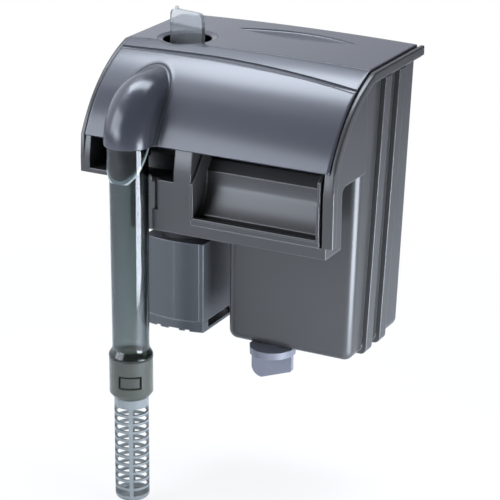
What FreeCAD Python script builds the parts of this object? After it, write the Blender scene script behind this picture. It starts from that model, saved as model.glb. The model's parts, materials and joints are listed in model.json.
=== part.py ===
import FreeCAD, Part
import math
import os
import re
import Sketcher

# A hang-on power filter for an aquarium, in millimetres.
# +Z is up and -Y points into the tank. The origin is the middle of the ceiling of the slot
# that sits on the tank's rim, so the rim's top lies at Z = 0.

SIZES = [
    # name, value, what it is
    ("body_width", 170.0, "width of the lid, along the tank"),
    ("side_lap", 1.0, "how far the lid stands past each side wall"),
    ("case_depth", 82.0, "front face to back wall, at the top"),
    ("side_draft", 4.8, "how much each side wall leans in towards the bottom"),
    ("back_draft", 4.8, "how much the back wall leans in towards the bottom"),
    ("wall", 2.5, "wall of the case"),
    ("rim_gap", 28.0, "width of the slot for the tank's rim"),
    ("front_reach", 50.0, "front face of the box to the front of the overhang"),
    ("box_drop", 127.0, "slot ceiling down to the bottom of the filter box"),
    ("chamber_drop", 60.5, "slot ceiling down to the underside of the pump chamber"),
    ("skirt_drop", 39.5, "slot ceiling down to the lower edge of the skirt"),
    ("top_height", 65.6, "slot ceiling up to the flat top of the lid"),
    ("lip_height", 14.9, "slot ceiling up to the lower lip of the hood"),
    ("hood_bow", 8.1, "how far the hood's arc bows out of its chord"),
    ("crest_setback", 6.7, "front face of the box back to the edge of the flat top"),
    ("box_left", 9.7, "left wall of the filter box, left of the middle"),
    ("box_corner", 6.0, "radius of the upright corners"),
    ("foot_corner", 6.5, "radius of the lower corners seen from the front"),
    ("slot_corner", 5.0, "radius inside the slot, in front of the rim"),
    ("bead_width", 6.2, "height of the rim along the top edge of the case"),
    ("flange_reach", 3.6, "how far the rim stands out past the lid's side edge"),
    ("flange_clear", 0.8, "gap between the lid's side edge and the rim beside it"),
    ("flange_drop", 1.2, "how much lower the rim lies than the lid's face"),
    ("flange_round", 1.0, "radius of the rim's outer edges"),
    ("pilaster_reach", 3.0, "how far the cartridge channels stand out of the right wall"),
    ("pilaster_foot", 4.0, "radius of a channel's lower corner"),
    ("channel_depth", 2.0, "depth of a cartridge channel in the right wall"),
    ("pilaster_width", 9.0, "width of a cartridge channel, outside"),
    ("pilaster_front", 18.5, "box face to the front channel, at the bottom"),
    ("pilaster_pitch", 21.5, "front channel to rear channel"),
    ("flute_width", 1.2, "width of the groove in front of a cartridge channel"),
    ("flute_depth", 0.9, "depth of that groove"),
    ("pilaster_lean", 9.0, "how far the channels lean back over the height of the case"),
    ("chute_left", 8.8, "left side of the chute, left of the middle"),
    ("chute_gap", 2.0, "dark gap between the chute and the right cheek"),
    ("chute_wall", 1.8, "wall of the chute"),
    ("sill_drop", 27.6, "slot ceiling down to the top of the chute's front rim"),
    ("sill_band", 4.8, "height of the chute's front rim"),
    ("frame_proud", 1.0, "how far the chute's frame stands out of the front"),
    ("frame_band", 0.6, "how far the chute's frame laps over the panel beside it"),
    ("frame_lip", 1.6, "height of the frame's lower strip"),
    ("ramp_toe", 8.5, "front face back to the toe of the ramp"),
    ("ramp_hollow", 40.0, "radius of the ramp's hollow"),
    ("toe_thick", 0.9, "thickness of the ramp's toe"),
    ("frame_top_drop", 5.5, "slot ceiling down to the top of the frame's left strip"),
    ("weir_height", 13.0, "slot ceiling up to the weir"),
    ("post_width", 12.0, "width of the post between chute and intake"),
    ("bay_drop", 6.5, "slot ceiling down to the floor of the intake bay"),
    ("bay_floor", 3.0, "thickness of the intake bay's floor"),
    ("notch_width", 4.0, "width of the notch beside the intake"),
    ("notch_drop", 26.5, "slot ceiling down to the bottom of the notch"),
    ("intake_left", 50.5, "axis of intake, valve and pump, left of the middle"),
    ("tube_ahead", 4.0, "axis of the intake tube in front of the overhang"),
    ("pump_setback", 21.5, "front face of the box back to the pump's axis"),
    ("tube_radius", 12.4, "outer radius of the intake tube"),
    ("tube_wall", 1.5, "wall of the intake tube"),
    ("tube_taper", 0.5, "how much the tube's radius shrinks down to its bell"),
    ("tube_engaged", 27.0, "straight top of the tube, held in the elbow"),
    ("run_fit", 0.1, "radial clearance of parts that slide or turn in each other"),
    ("loose_gap", 0.4, "clearance of parts that only pass each other"),
    ("elbow_wall", 1.45, "wall of the clear elbow"),
    ("elbow_bend", 22.0, "bend radius of the elbow's middle line"),
    ("run_height", 39.5, "slot ceiling up to the middle line of the elbow's level run"),
    ("tongue_length", 16.5, "how far the elbow's tongue reaches below its socket"),
    ("socket_length", 8.5, "closed part of the elbow's socket"),
    ("tower_radius", 14.5, "outer radius of the elbow's rear tower"),
    ("tower_wall", 1.5, "wall of the elbow's rear tower"),
    ("tower_top", 56.5, "slot ceiling up to the top of the rear tower"),
    ("shroud_wall", 1.45, "wall of the hood's bulge over the elbow"),
    ("lid_wall", 2.2, "wall of the lid"),
    ("lid_seat", 0.3, "gap between the lid and the case under it"),
    ("lid_back_gap", 2.6, "back edge of the lid in front of the back wall's outside"),
    ("lid_rib", 3.5, "depth of the locating ribs under the lid"),
    ("knob_hole_radius", 17.6, "hole in the lid round the flow knob"),
    ("knob_dish_radius", 19.3, "outer radius of the dished edge round that hole"),
    ("grip_length", 85.0, "length of the lens-shaped grip recess in the lid"),
    ("grip_width", 18.0, "width of the grip recess"),
    ("grip_depth", 2.6, "depth of the grip recess"),
    ("grip_middle", 10.5, "middle of the grip recess, right of the middle"),
    ("grip_setback", 57.0, "box face back to the middle of the grip recess"),
    ("knob_radius", 14.7, "radius of the flow knob's disc"),
    ("knob_disc", 2.4, "thickness of the flow knob's disc"),
    ("tab_width", 27.0, "width of the knob's finger tab"),
    ("tab_thick", 3.2, "thickness of the finger tab"),
    ("tab_top", 83.5, "slot ceiling up to the top of the finger tab"),
    ("tab_corner", 4.0, "radius of the tab's upper corners"),
    ("tab_turn", 12.8, "how far the tab stands turned at rest, in degrees"),
    ("sleeve_wall", 1.6, "wall of the valve sleeve"),
    ("bell_radius", 14.4, "radius of the bell at the tube's lower end"),
    ("bell_height", 5.6, "height of the bell"),
    ("tube_end_drop", 126.5, "slot ceiling down to the tube's lower end"),
    ("collar_radius", 14.2, "radius of the strainer's collar"),
    ("collar_length", 27.5, "length of the strainer's collar"),
    ("collar_bevel", 3.0, "height of the bevel under the collar"),
    ("window_height", 9.0, "height of the clip window in the collar"),
    ("window_drop", 10.0, "top of the collar down to the clip window"),
    ("strainer_radius", 11.2, "radius of the strainer"),
    ("strainer_wall", 1.5, "wall of the strainer"),
    ("strainer_drop", 227.0, "slot ceiling down to the strainer's lowest point"),
    ("slot_rows", 11, "rows of slots in the strainer"),
    ("slot_pitch", 5.8, "distance from one row of slots to the next"),
    ("slot_height", 4.1, "height of a slot"),
    ("rib_width", 2.7, "width of the four upright ribs between the slots"),
    ("rib_turn", 27.0, "how far the first rib is turned from the front, in degrees"),
    ("motor_width", 44.0, "width of the motor"),
    ("motor_ahead", 19.0, "pump axis forward to the motor's front corners"),
    ("motor_behind", 33.0, "pump axis back to the motor's back"),
    ("motor_bow", 2.8, "how far the motor's front bows out"),
    ("motor_top_drop", 66.0, "slot ceiling down to the top of the motor"),
    ("motor_joint_drop", 120.6, "slot ceiling down to the joint of the bottom cover"),
    ("motor_bottom_drop", 128.0, "slot ceiling down to the motor's underside"),
    ("motor_wall", 2.2, "wall of the motor housing"),
    ("seam_width", 0.6, "width of the seams on the motor's front"),
    ("seam_depth", 0.5, "depth of those seams"),
    ("spigot_radius", 14.0, "radius of the motor's spigot in the chamber's floor"),
    ("well_radius", 9.5, "inner radius of the rotor's well"),
    ("well_wall", 1.4, "wall of the rotor's well"),
    ("well_depth", 44.0, "top of the motor down to the bottom of the rotor's well"),
    ("seal_height", 5.2, "height of the seal between motor and case"),
    ("seal_wall", 3.2, "width of the seal between motor and case"),
    ("magnet_radius", 8.9, "radius of the rotor magnet"),
    ("magnet_length", 38.0, "length of the rotor magnet"),
    ("shaft_radius", 1.5, "radius of the ceramic shaft"),
    ("bush_radius", 5.0, "radius of the lower bush"),
    ("bush_height", 3.4, "height of the lower bush"),
    ("vane_radius", 12.4, "radius of the impeller's vanes"),
    ("vane_height", 9.0, "height of the impeller's vanes"),
    ("vane_thick", 1.4, "thickness of a vane"),
    ("vane_count", 6, "number of vanes"),
    ("hub_radius", 4.2, "radius of the impeller's hub"),
    ("cover_radius", 17.6, "outer radius of the impeller cover"),
    ("cover_wall", 1.8, "wall of the impeller cover"),
    ("cover_height", 17.0, "height of the impeller cover over the chamber's floor"),
    ("inlet_radius", 8.0, "radius of the pump's inlet"),
    ("core_stack", 16.0, "height of the laminated core"),
    ("core_limb", 5.6, "width of a limb of the core"),
    ("coil_height", 26.0, "height of the coil"),
    ("gland_radius", 5.4, "outer radius of the cord inlet"),
    ("gland_bore", 3.1, "bore radius of the cord inlet"),
    ("gland_reach", 7.0, "how far the cord inlet stands out of the motor"),
    ("screw_head", 2.9, "head radius of the motor's screws"),
    ("screw_shank", 1.5, "shank radius of the motor's screws"),
    ("screw_length", 13.0, "length of the motor's screws under the head"),
    ("cartridge_thick", 6.4, "thickness of a filter cartridge"),
    ("cartridge_frame", 7.0, "width of a cartridge's frame"),
    ("cartridge_top", 28.0, "slot ceiling up to the top of the cartridges"),
    ("pad_thick", 5.0, "thickness of a filter pad"),
    ("rail_depth", 3.0, "depth of the guide rails on the left wall"),
    ("rail_thick", 1.8, "thickness of the guide rails"),
    ("carbon_thick", 9.0, "thickness of the carbon bag between the cartridges"),
    ("cam_right", 21.5, "axis of the level adjuster, right of the middle"),
    ("cam_setback", 7.5, "box face back to the axis of the level adjuster"),
    ("cam_radius", 15.4, "outer radius of the level adjuster's faceted cam"),
    ("cam_thick", 4.6, "thickness of the cam"),
    ("cam_offset", 2.0, "how far the cam's middle lies off its axis"),
    ("cam_stud", 3.2, "radius of the cam's stud in the case's floor"),
    ("cam_stud_length", 7.5, "length of the cam's stud"),
    ("wing_width", 29.0, "width of the level adjuster's wing"),
    ("wing_height", 19.0, "height of the wing under the cam"),
    ("wing_thick", 3.4, "thickness of the wing"),
    ("wing_corner", 7.5, "radius of the wing's rounded corner"),
    ("wing_slope", 7.2, "how much the wing's lower edge rises to the right"),
]

PLACES = [
    # name, formula
    ("case_half", "body_width / 2 - side_lap"),
    ("face_y", "rim_gap / 2"),
    ("front_y", "face_y - front_reach"),
    ("back_y", "face_y + case_depth"),
    ("case_top", "top_height - lid_wall - lid_seat"),
    ("box_x", "-box_left"),
    ("right_foot", "case_half - side_draft"),
    ("back_foot", "back_y - back_draft"),
    ("lip_y", "front_y - lid_seat"),
    ("crest_y", "face_y + crest_setback"),
    ("chord_y", "crest_y - lip_y"),
    ("chord_z", "top_height - lip_height"),
    ("chord", "sqrt(chord_y * chord_y + chord_z * chord_z)"),
    ("hood_radius", "(chord * chord / 4 + hood_bow * hood_bow) / (2 * hood_bow)"),
    ("hood_y", "(crest_y + lip_y) / 2 + (hood_radius - hood_bow) * chord_z / chord"),
    ("hood_z", "(top_height + lip_height) / 2 - (hood_radius - hood_bow) * chord_y / chord"),
    ("slot_front_y", "-rim_gap / 2"),
    ("intake_x", "-intake_left"),
    ("tube_y", "front_y - tube_ahead"),
    ("pump_y", "face_y + pump_setback"),
    ("elbow_bore", "tube_radius + run_fit"),
    ("elbow_radius", "elbow_bore + elbow_wall"),
    ("bend_z", "run_height - elbow_bend"),
    ("bend_y", "tube_y + elbow_bend"),
    ("tube_top", "bend_z - 0.5"),
    ("socket_z", "bend_z - socket_length"),
    ("tongue_z", "socket_z - tongue_length"),
    ("shroud_bore", "elbow_radius + loose_gap"),
    ("shroud_radius", "shroud_bore + shroud_wall"),
    ("panel_x", "intake_x + elbow_radius + loose_gap / 2"),
    ("post_x", "-chute_left - post_width"),
    ("chute_x", "-chute_left"),
    ("chute_end", "case_half - wall - chute_gap"),
    ("chamber_floor", "-chamber_drop + wall"),
    ("tower_bore", "tower_radius - tower_wall"),
    ("sleeve_radius", "tower_bore - run_fit"),
    ("motor_top", "-motor_top_drop"),
    ("motor_front", "pump_y - motor_ahead"),
    ("motor_back", "pump_y + motor_behind"),
    ("spigot_top", "chamber_floor + 3"),
    ("well_floor", "motor_top - well_depth"),
    ("magnet_z", "well_floor + bush_height + 0.4"),
    ("magnet_top", "magnet_z + magnet_length"),
    ("vane_z", "spigot_top + 0.8"),
    ("cover_top", "chamber_floor + cover_height"),
    ("tower_foot", "cover_top + loose_gap"),
    ("core_mid", "(motor_top - motor_joint_drop) / 2 - 3"),
    ("tube_end", "-tube_end_drop"),
    ("collar_top", "tube_end - 0.3"),
    ("collar_end", "collar_top - collar_length"),
    ("floor_z", "-box_drop"),
    ("cam_y", "face_y + cam_setback"),
    ("cam_top", "floor_z - lid_seat"),
]

doc = FreeCAD.newDocument("hang_on_filter")
sheet = doc.addObject("Spreadsheet::Sheet", "Sizes")
for row, (name, number, note) in enumerate(SIZES, start=1):
    sheet.set(f"A{row}", name)
    sheet.set(f"B{row}", str(number))
    sheet.set(f"C{row}", note)
    sheet.setAlias(f"B{row}", name)
doc.recompute()

SIZE_NAMES = {name for name, number, note in SIZES}
PLACE_NAMES = {name for name, formula in PLACES}


def expression(text):
    """Puts the sheet's or the place list's name before each of their own names in a formula."""
    def owner(match):
        word = match.group(0)
        if word in SIZE_NAMES:
            return "Sizes." + word
        if word in PLACE_NAMES:
            return "Places." + word
        return word
    return re.sub(r"[a-z_]+", owner, str(text))


places = doc.addObject("App::VarSet", "Places")
for name, formula in PLACES:
    places.addProperty("App::PropertyFloat", name, "Places", formula)
    places.setExpression(name, expression(formula))
doc.recompute()


def value(text):
    """The number that a formula gives now."""
    return float(sheet.evalExpression(expression(text)))


def bind(item, prop, text):
    """Binds a property to a formula."""
    item.setExpression(prop, expression(text))


def put(item, x="0", y="0", z="0"):
    """Binds where an object stands."""
    bind(item, "Placement.Base.x", x)
    bind(item, "Placement.Base.y", y)
    bind(item, "Placement.Base.z", z)
    return item


# Sketches

def draw(sketch, points):
    """A closed outline. A point is (x, y) or (x, y, radius, turn): then an arc leads to it,
    with its centre on the left for turn 1 and on the right for turn -1."""
    count = len(points)
    spots = [FreeCAD.Vector(value(p[0]), value(p[1]), 0) for p in points]
    ends = []
    for i in range(count):
        start, stop = spots[i], spots[(i + 1) % count]
        target = points[(i + 1) % count]
        if len(target) == 2:
            sketch.addGeometry(Part.LineSegment(start, stop), False)
            ends.append((1, 2))
            continue
        radius, turn = value(target[2]), target[3]
        span = stop - start
        left = FreeCAD.Vector(-span.y, span.x, 0).normalize()
        rise = math.sqrt(max(radius ** 2 - (span.Length / 2) ** 2, 0))
        centre = (start + stop) * 0.5 + left * rise * turn
        first, last = (start, stop) if turn > 0 else (stop, start)
        a = math.atan2(first.y - centre.y, first.x - centre.x)
        b = math.atan2(last.y - centre.y, last.x - centre.x)
        if b < a:
            b += 2 * math.pi
        circle = Part.Circle(centre, FreeCAD.Vector(0, 0, 1), radius)
        sketch.addGeometry(Part.ArcOfCircle(circle, a, b), False)
        ends.append((1, 2) if turn > 0 else (2, 1))
    for i in range(count):
        j = (i + 1) % count
        sketch.addConstraint(Sketcher.Constraint("Coincident", i, ends[i][1], j, ends[j][0]))
    for i in range(count):
        for kind, text in (("DistanceX", points[i][0]), ("DistanceY", points[i][1])):
            number = sketch.addConstraint(
                Sketcher.Constraint(kind, -1, 1, i, ends[i][0], value(text)))
            sketch.setExpression(f"Constraints[{number}]", expression(text))
        target = points[(i + 1) % count]
        if len(target) > 2:
            number = sketch.addConstraint(
                Sketcher.Constraint("Radius", i, value(target[2])))
            sketch.setExpression(f"Constraints[{number}]", expression(target[2]))


PLANES = {
    "XY": (FreeCAD.Rotation(), FreeCAD.Vector(0, 0, 1), "Placement.Base.z"),
    "XZ": (FreeCAD.Rotation(FreeCAD.Vector(1, 0, 0), 90), FreeCAD.Vector(0, 1, 0),
           "Placement.Base.y"),
    "YZ": (FreeCAD.Rotation(FreeCAD.Vector(1, 1, 1), 120), FreeCAD.Vector(1, 0, 0),
           "Placement.Base.x"),
}


def prism(name, plane, points, start, end):
    """An outline in one of the main planes, extruded from start to end across that plane."""
    turn, normal, slide = PLANES[plane]
    sketch = doc.addObject("Sketcher::SketchObject", name + "_sketch")
    sketch.Placement = FreeCAD.Placement(FreeCAD.Vector(), turn)
    draw(sketch, points)
    bind(sketch, slide, start)
    solid = doc.addObject("Part::Extrusion", name)
    solid.Base = sketch
    solid.DirMode = "Custom"
    solid.Dir = normal
    solid.Solid = True
    bind(solid, "LengthFwd", f"({end}) - ({start})")
    return solid


def turned(name, points, x, y, z="0"):
    """A body turned round an upright axis. Its outline is given as (radius, height)."""
    body = doc.addObject("PartDesign::Body", name)
    sketch = body.newObject("Sketcher::SketchObject", name + "_outline")
    plane = [f for f in body.Origin.OriginFeatures if f.Role == "XZ_Plane"][0]
    sketch.AttachmentSupport = [(plane, "")]
    sketch.MapMode = "FlatFace"
    draw(sketch, points)
    spin = body.newObject("PartDesign::Revolution", name + "_turn")
    spin.Profile = sketch
    spin.ReferenceAxis = (sketch, ["V_Axis"])
    spin.Angle = 360
    put(body, x, y, z)
    return body


# Primitives

def block(name, x0, x1, y0, y1, z0, z1):
    solid = doc.addObject("Part::Box", name)
    bind(solid, "Length", f"({x1}) - ({x0})")
    bind(solid, "Width", f"({y1}) - ({y0})")
    bind(solid, "Height", f"({z1}) - ({z0})")
    return put(solid, x0, y0, z0)


def rod(name, radius, x, y, z0, z1):
    """An upright cylinder from z0 to z1."""
    solid = doc.addObject("Part::Cylinder", name)
    bind(solid, "Radius", radius)
    bind(solid, "Height", f"({z1}) - ({z0})")
    return put(solid, x, y, z0)


def rod_y(name, radius, x, z, y0, y1):
    """A level cylinder along Y from y0 to y1."""
    solid = doc.addObject("Part::Cylinder", name)
    solid.Placement = FreeCAD.Placement(
        FreeCAD.Vector(), FreeCAD.Rotation(FreeCAD.Vector(1, 0, 0), -90))
    bind(solid, "Radius", radius)
    bind(solid, "Height", f"({y1}) - ({y0})")
    return put(solid, x, y0, z)


def elbow_arc(name, radius):
    """The quarter bend from the intake's upright leg into its level run."""
    bend = doc.addObject("Part::Torus", name)
    bend.Placement = FreeCAD.Placement(FreeCAD.Vector(), FreeCAD.Rotation(
        FreeCAD.Vector(0, -1, 0), FreeCAD.Vector(0, 0, 1), FreeCAD.Vector(-1, 0, 0), "XYZ"))
    bind(bend, "Radius1", "elbow_bend")
    bind(bend, "Radius2", radius)
    bend.Angle3 = 90
    return put(bend, "intake_x", "bend_y", "bend_z")


def fuse(name, *shapes):
    joined = doc.addObject("Part::MultiFuse", name)
    joined.Shapes = list(shapes)
    return joined


def cut(name, base, *tools):
    tool = tools[0] if len(tools) == 1 else fuse(name + "_tools", *tools)
    result = doc.addObject("Part::Cut", name)
    result.Base = base
    result.Tool = tool
    return result


def common(name, *shapes):
    shared = doc.addObject("Part::MultiCommon", name)
    shared.Shapes = list(shapes)
    return shared


def round_edges(name, base, radius, wanted):
    """Rounds the edges of a solid that the test picks."""
    doc.recompute()
    size = value(radius)
    picks = [i for i, edge in enumerate(base.Shape.Edges, start=1) if wanted(edge)]
    rounded_solid = doc.addObject("Part::Fillet", name)
    rounded_solid.Base = base
    rounded_solid.Edges = [(i, size, size) for i in picks]
    return rounded_solid


NODES = []


def node(item, label):
    """Registers a finished sub-part under its name."""
    item.Label = label
    NODES.append(item)
    return item


# Hood profile

def hood_point(inset, height):
    """Where the hood's arc, moved inwards by inset, stands at a height."""
    radius = f"(hood_radius - ({inset}))"
    drop = f"(({height}) - hood_z)"
    return f"hood_y - sqrt({radius} * {radius} - {drop} * {drop})"


def hood_height(inset, place):
    """How high the hood's arc, moved inwards by inset, stands at a place, front to back."""
    radius = f"(hood_radius - ({inset}))"
    ahead = f"(hood_y - ({place}))"
    return f"hood_z + sqrt({radius} * {radius} - {ahead} * {ahead})"


CASE_INSET = "(lid_wall + lid_seat)"


# The case

def case_core():
    """The filter box and the pump chamber as one L-shaped block."""
    front = prism("core_front_view", "XZ", [
        ("-case_half", "-chamber_drop"),
        ("box_x", "-chamber_drop"),
        ("box_x", "floor_z + foot_corner"),
        ("box_x + foot_corner", "floor_z", "foot_corner", 1),
        ("right_foot - foot_corner", "floor_z"),
        ("right_foot", "floor_z + foot_corner", "foot_corner", 1),
        ("case_half", "case_top"),
        ("-case_half", "case_top"),
    ], "face_y", "back_y")
    side = prism("core_side_view", "YZ", [
        ("face_y", "floor_z"),
        ("back_foot", "floor_z"),
        ("back_y", "case_top"),
        (hood_point(CASE_INSET, "case_top"), "case_top"),
        ("face_y", hood_height(CASE_INSET, "face_y"), f"hood_radius - {CASE_INSET}", 1),
    ], "-body_width", "body_width")
    return common("core", front, side)


def upright(edge):
    """True for the upright corner edges of the case's core."""
    a, b = edge.Vertexes[0].Point, edge.Vertexes[-1].Point
    return abs(a.z - b.z) > value("chamber_drop") and edge.BoundBox.ZMax > value("lip_height")


core = case_core()
core_round = round_edges("core_round", core, "box_corner", upright)

overhang = prism("overhang", "YZ", [
    ("face_y + box_corner", "0"),
    ("face_y + box_corner", hood_height(CASE_INSET, "face_y + box_corner")),
    (hood_point(CASE_INSET, "lip_height"), "lip_height", f"hood_radius - {CASE_INSET}", 1),
    ("front_y", "0"),
    ("front_y", "-skirt_drop"),
    ("slot_front_y", "-skirt_drop"),
    ("slot_front_y", "-slot_corner"),
    ("slot_front_y + slot_corner", "0", "slot_corner", -1),
], "-case_half", "case_half")

def rim_outline(inset, top, foot):
    """Side view of the rim: along the top edge, down the hood's arc and on to its foot."""
    return [
        ("back_y + side_lap", top),
        (hood_point(inset, top), top),
        (hood_point(inset, "lip_height"), "lip_height", f"hood_radius - {inset}", 1),
        ("front_y", "0"),
        ("front_y", foot),
        ("front_y + bead_width", foot),
        ("front_y + bead_width", "0"),
        (hood_point(f"{inset} + bead_width", "lip_height"), "lip_height"),
        (hood_point(f"{inset} + bead_width", f"{top} - bead_width"),
         f"{top} - bead_width", f"hood_radius - {inset} - bead_width", -1),
        ("back_y + side_lap", f"{top} - bead_width"),
    ]


def outermost(edge):
    """True for the edges of a rim's outer face."""
    box = edge.BoundBox
    reach = value("body_width / 2 + flange_reach") - 0.01
    return box.XMin > reach or box.XMax < -reach


FLANGE_TOP = "(top_height - flange_drop)"
RIGHT_FOOT = "-sill_drop - sill_band"
LEFT_FOOT = "-bay_drop - bay_floor"
INNER_REACH = "body_width / 2 + flange_clear"
OUTER_REACH = "body_width / 2 + flange_reach"
rims = [
    prism("rim_right", "YZ", rim_outline(CASE_INSET, "case_top", RIGHT_FOOT),
          "case_half - side_lap", f"{INNER_REACH} + 0.5"),
    prism("rim_left", "YZ", rim_outline(CASE_INSET, "case_top", LEFT_FOOT),
          f"-({INNER_REACH}) - 0.5", "side_lap - case_half"),
    round_edges("flange_right", prism("flange_right_block", "YZ",
                                      rim_outline("flange_drop", FLANGE_TOP, RIGHT_FOOT),
                                      INNER_REACH, OUTER_REACH), "flange_round", outermost),
    round_edges("flange_left", prism("flange_left_block", "YZ",
                                     rim_outline("flange_drop", FLANGE_TOP, LEFT_FOOT),
                                     f"-({OUTER_REACH})", f"-({INNER_REACH})"),
                "flange_round", outermost),
    block("rim_back", f"-({INNER_REACH}) - 0.5", f"{INNER_REACH} + 0.5", "back_y - wall",
          "back_y + side_lap", "case_top - bead_width", "case_top"),
]


def channel_outline(inset, index, bottom, top):
    """Side view of one cartridge channel: a leaning strip between two heights."""
    start = f"face_y + pilaster_front + {index} * pilaster_pitch"

    def lean(height):
        return f"pilaster_lean * (({height}) - floor_z) / (case_top - floor_z)"
    return [
        (f"{start} + {inset} + {lean(bottom)}", bottom),
        (f"{start} + pilaster_width - ({inset}) + {lean(bottom)}", bottom),
        (f"{start} + pilaster_width - ({inset}) + {lean(top)}", top),
        (f"{start} + {inset} + {lean(top)}", top),
    ]


def flute_outline(index, bottom, top):
    """Side view of the groove in front of one cartridge channel."""
    front = channel_outline("-flute_width", index, bottom, top)
    back = channel_outline("0", index, bottom, top)
    return [front[0], back[0], back[3], front[3]]


def right_wall(height):
    """Where the outside of the drafted right wall stands at a height."""
    return f"(right_foot + side_draft * (({height}) - floor_z) / (case_top - floor_z))"


def beside_wall(name, near, far, bottom, top, corner):
    """A slab along the right wall, between two offsets from it, with a round lower corner."""
    return prism(name, "XZ", [
        (f"{right_wall(bottom)} + {near}", bottom),
        (f"{right_wall(bottom)} + {far} - {corner}", bottom),
        (f"{right_wall(bottom)} + {far}", f"{bottom} + {corner}", corner, 1),
        (f"{right_wall(top)} + {far}", top),
        (f"{right_wall(top)} + {near}", top),
    ], "face_y", "back_y")


PILASTER_TOP = "case_top - bead_width"
pilasters = []
channels = []
flutes = []
for index in range(2):
    slab = beside_wall(f"pilaster_slab_{index}", "-foot_corner", "pilaster_reach", "floor_z",
                       PILASTER_TOP, "pilaster_foot")
    strip = prism(f"pilaster_strip_{index}", "YZ",
                  channel_outline("0", index, "floor_z", PILASTER_TOP), "0", "body_width")
    pilasters.append(common(f"pilaster_{index}", slab, strip))
    hollow_slab = beside_wall(f"channel_slab_{index}", "-wall - 1", "channel_depth - wall",
                              "floor_z + foot_corner", "case_top + 1", "0.5")
    hollow_strip = prism(f"channel_strip_{index}", "YZ",
                         channel_outline("1", index, "floor_z + foot_corner", "case_top + 1"),
                         "0", "body_width")
    channels.append(common(f"channel_{index}", hollow_slab, hollow_strip))
    flute_slab = beside_wall(f"flute_slab_{index}", "-flute_depth", "pilaster_reach",
                             "floor_z + foot_corner", f"{PILASTER_TOP} - 1", "0.5")
    flute_strip = prism(f"flute_strip_{index}", "YZ",
                        flute_outline(index, "floor_z + foot_corner", f"{PILASTER_TOP} - 1"),
                        "0", "body_width")
    flutes.append(common(f"flute_{index}", flute_slab, flute_strip))

cam_boss = rod("cam_boss", "cam_stud + 2", "cam_right", "cam_y", "floor_z + wall / 2",
               "floor_z + cam_stud_length + 2")

main_room = prism("main_room", "XZ", [
    ("box_x + wall", "floor_z + foot_corner"),
    ("box_x + foot_corner", "floor_z + wall", "foot_corner - wall", 1),
    ("right_foot - foot_corner", "floor_z + wall"),
    ("right_foot - wall", "floor_z + foot_corner", "foot_corner - wall", 1),
    ("case_half - wall", "case_top"),
    ("case_half - wall", "top_height"),
    ("box_x + wall", "top_height"),
], "face_y + wall", "back_y - wall")
main_side = prism("main_side", "YZ", [
    ("face_y + wall", "floor_z + wall"),
    ("back_foot - wall", "floor_z + wall"),
    ("back_y - wall", "case_top"),
    ("back_y - wall", "top_height"),
    ("face_y + wall", "top_height"),
], "-body_width", "body_width")
main_cavity = common("main_cavity", main_room, main_side)

pump_cavity = block("pump_cavity", "-case_half + wall", "box_x",
                    "face_y + wall", "back_y - back_draft / 2 - wall",
                    "chamber_floor", "top_height")
chute_bay = prism("chute_bay", "YZ", [
    ("face_y", "wall"),
    ("face_y", "top_height"),
    ("front_y - 20", "top_height"),
    ("front_y - 20", "-sill_drop - sill_band"),
    ("front_y + wall", "-sill_drop - sill_band"),
    ("front_y + wall", "-skirt_drop + wall"),
    ("slot_front_y - wall", "-skirt_drop + wall"),
    ("slot_front_y - wall", "-slot_corner"),
    ("slot_front_y + slot_corner", "wall", "slot_corner + wall", -1),
], "chute_x", "case_half - wall")
weir = block("weir", "chute_x", "case_half - wall - 6", "face_y - 1", "face_y + wall + 1",
             "weir_height", "top_height")
intake_bay = prism("intake_bay", "YZ", [
    ("face_y", "wall"),
    ("face_y", "top_height"),
    ("front_y - 20", "top_height"),
    ("front_y - 20", "-bay_drop"),
    ("slot_front_y - wall", "-bay_drop"),
    ("slot_front_y + slot_corner - wall", "wall"),
], "-case_half + wall", "post_x")
saddle = rod_y("saddle", "elbow_radius + loose_gap / 2", "intake_x", "run_height",
               "face_y - 1", "face_y + wall + 1")
saddle_mouth = block("saddle_mouth", "intake_x - elbow_radius - loose_gap / 2",
                     "intake_x + elbow_radius + loose_gap / 2", "face_y - 1", "face_y + wall + 1",
                     "run_height", "top_height")
panel_room = block("panel_room", "-case_half - side_lap", "panel_x", "front_y - 20",
                   "slot_front_y - wall", "-skirt_drop - 1", "-bay_drop - bay_floor")
panel_back = block("panel_back", "-case_half - side_lap", "panel_x", "slot_front_y - wall - 1",
                   "face_y - 0.01", "-skirt_drop - 1", "-bay_drop - bay_floor")
panel_hollow = block("panel_hollow", "panel_x + wall", "chute_x - wall", "front_y + wall",
                     "slot_front_y - wall", "-skirt_drop - 1", "-bay_drop - bay_floor")
panel_notch = block("panel_notch", "panel_x - 1", "panel_x + notch_width", "front_y - 1",
                    "front_y + wall + 1", "-notch_drop", "-bay_drop")
tube_hole = rod("tube_hole", "elbow_radius + loose_gap", "intake_x", "tube_y",
                "-bay_drop - bay_floor - 1", "-bay_drop + 1")
tube_slot = block("tube_slot", "intake_x - elbow_radius - loose_gap",
                  "intake_x + elbow_radius + loose_gap",
                  "front_y - 20", "tube_y", "-bay_drop - bay_floor - 1", "-bay_drop + 1")
post_hollow = block("post_hollow", "post_x + wall", "chute_x - wall", "front_y + 2 * wall",
                    "face_y", "wall", "top_height")
spigot_hole = rod("spigot_hole", "spigot_radius + run_fit", "intake_x", "pump_y",
                  "-chamber_drop - 1", "chamber_floor + 1")
divider_port = block("divider_port", "box_x - 1", "box_x + wall + 1",
                     "back_y - 26", "back_y - back_draft - wall - 1",
                     "chamber_floor + 2", "weir_height")
divider_top = block("divider_top", "box_x - 1", "box_x + wall + 1", "face_y + wall", "back_y - wall",
                    "cartridge_top + 2", "top_height")
cam_socket = rod("cam_socket", "cam_stud + run_fit / 2", "cam_right", "cam_y", "floor_z - 1",
                 "floor_z + cam_stud_length + 0.5")


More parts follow.
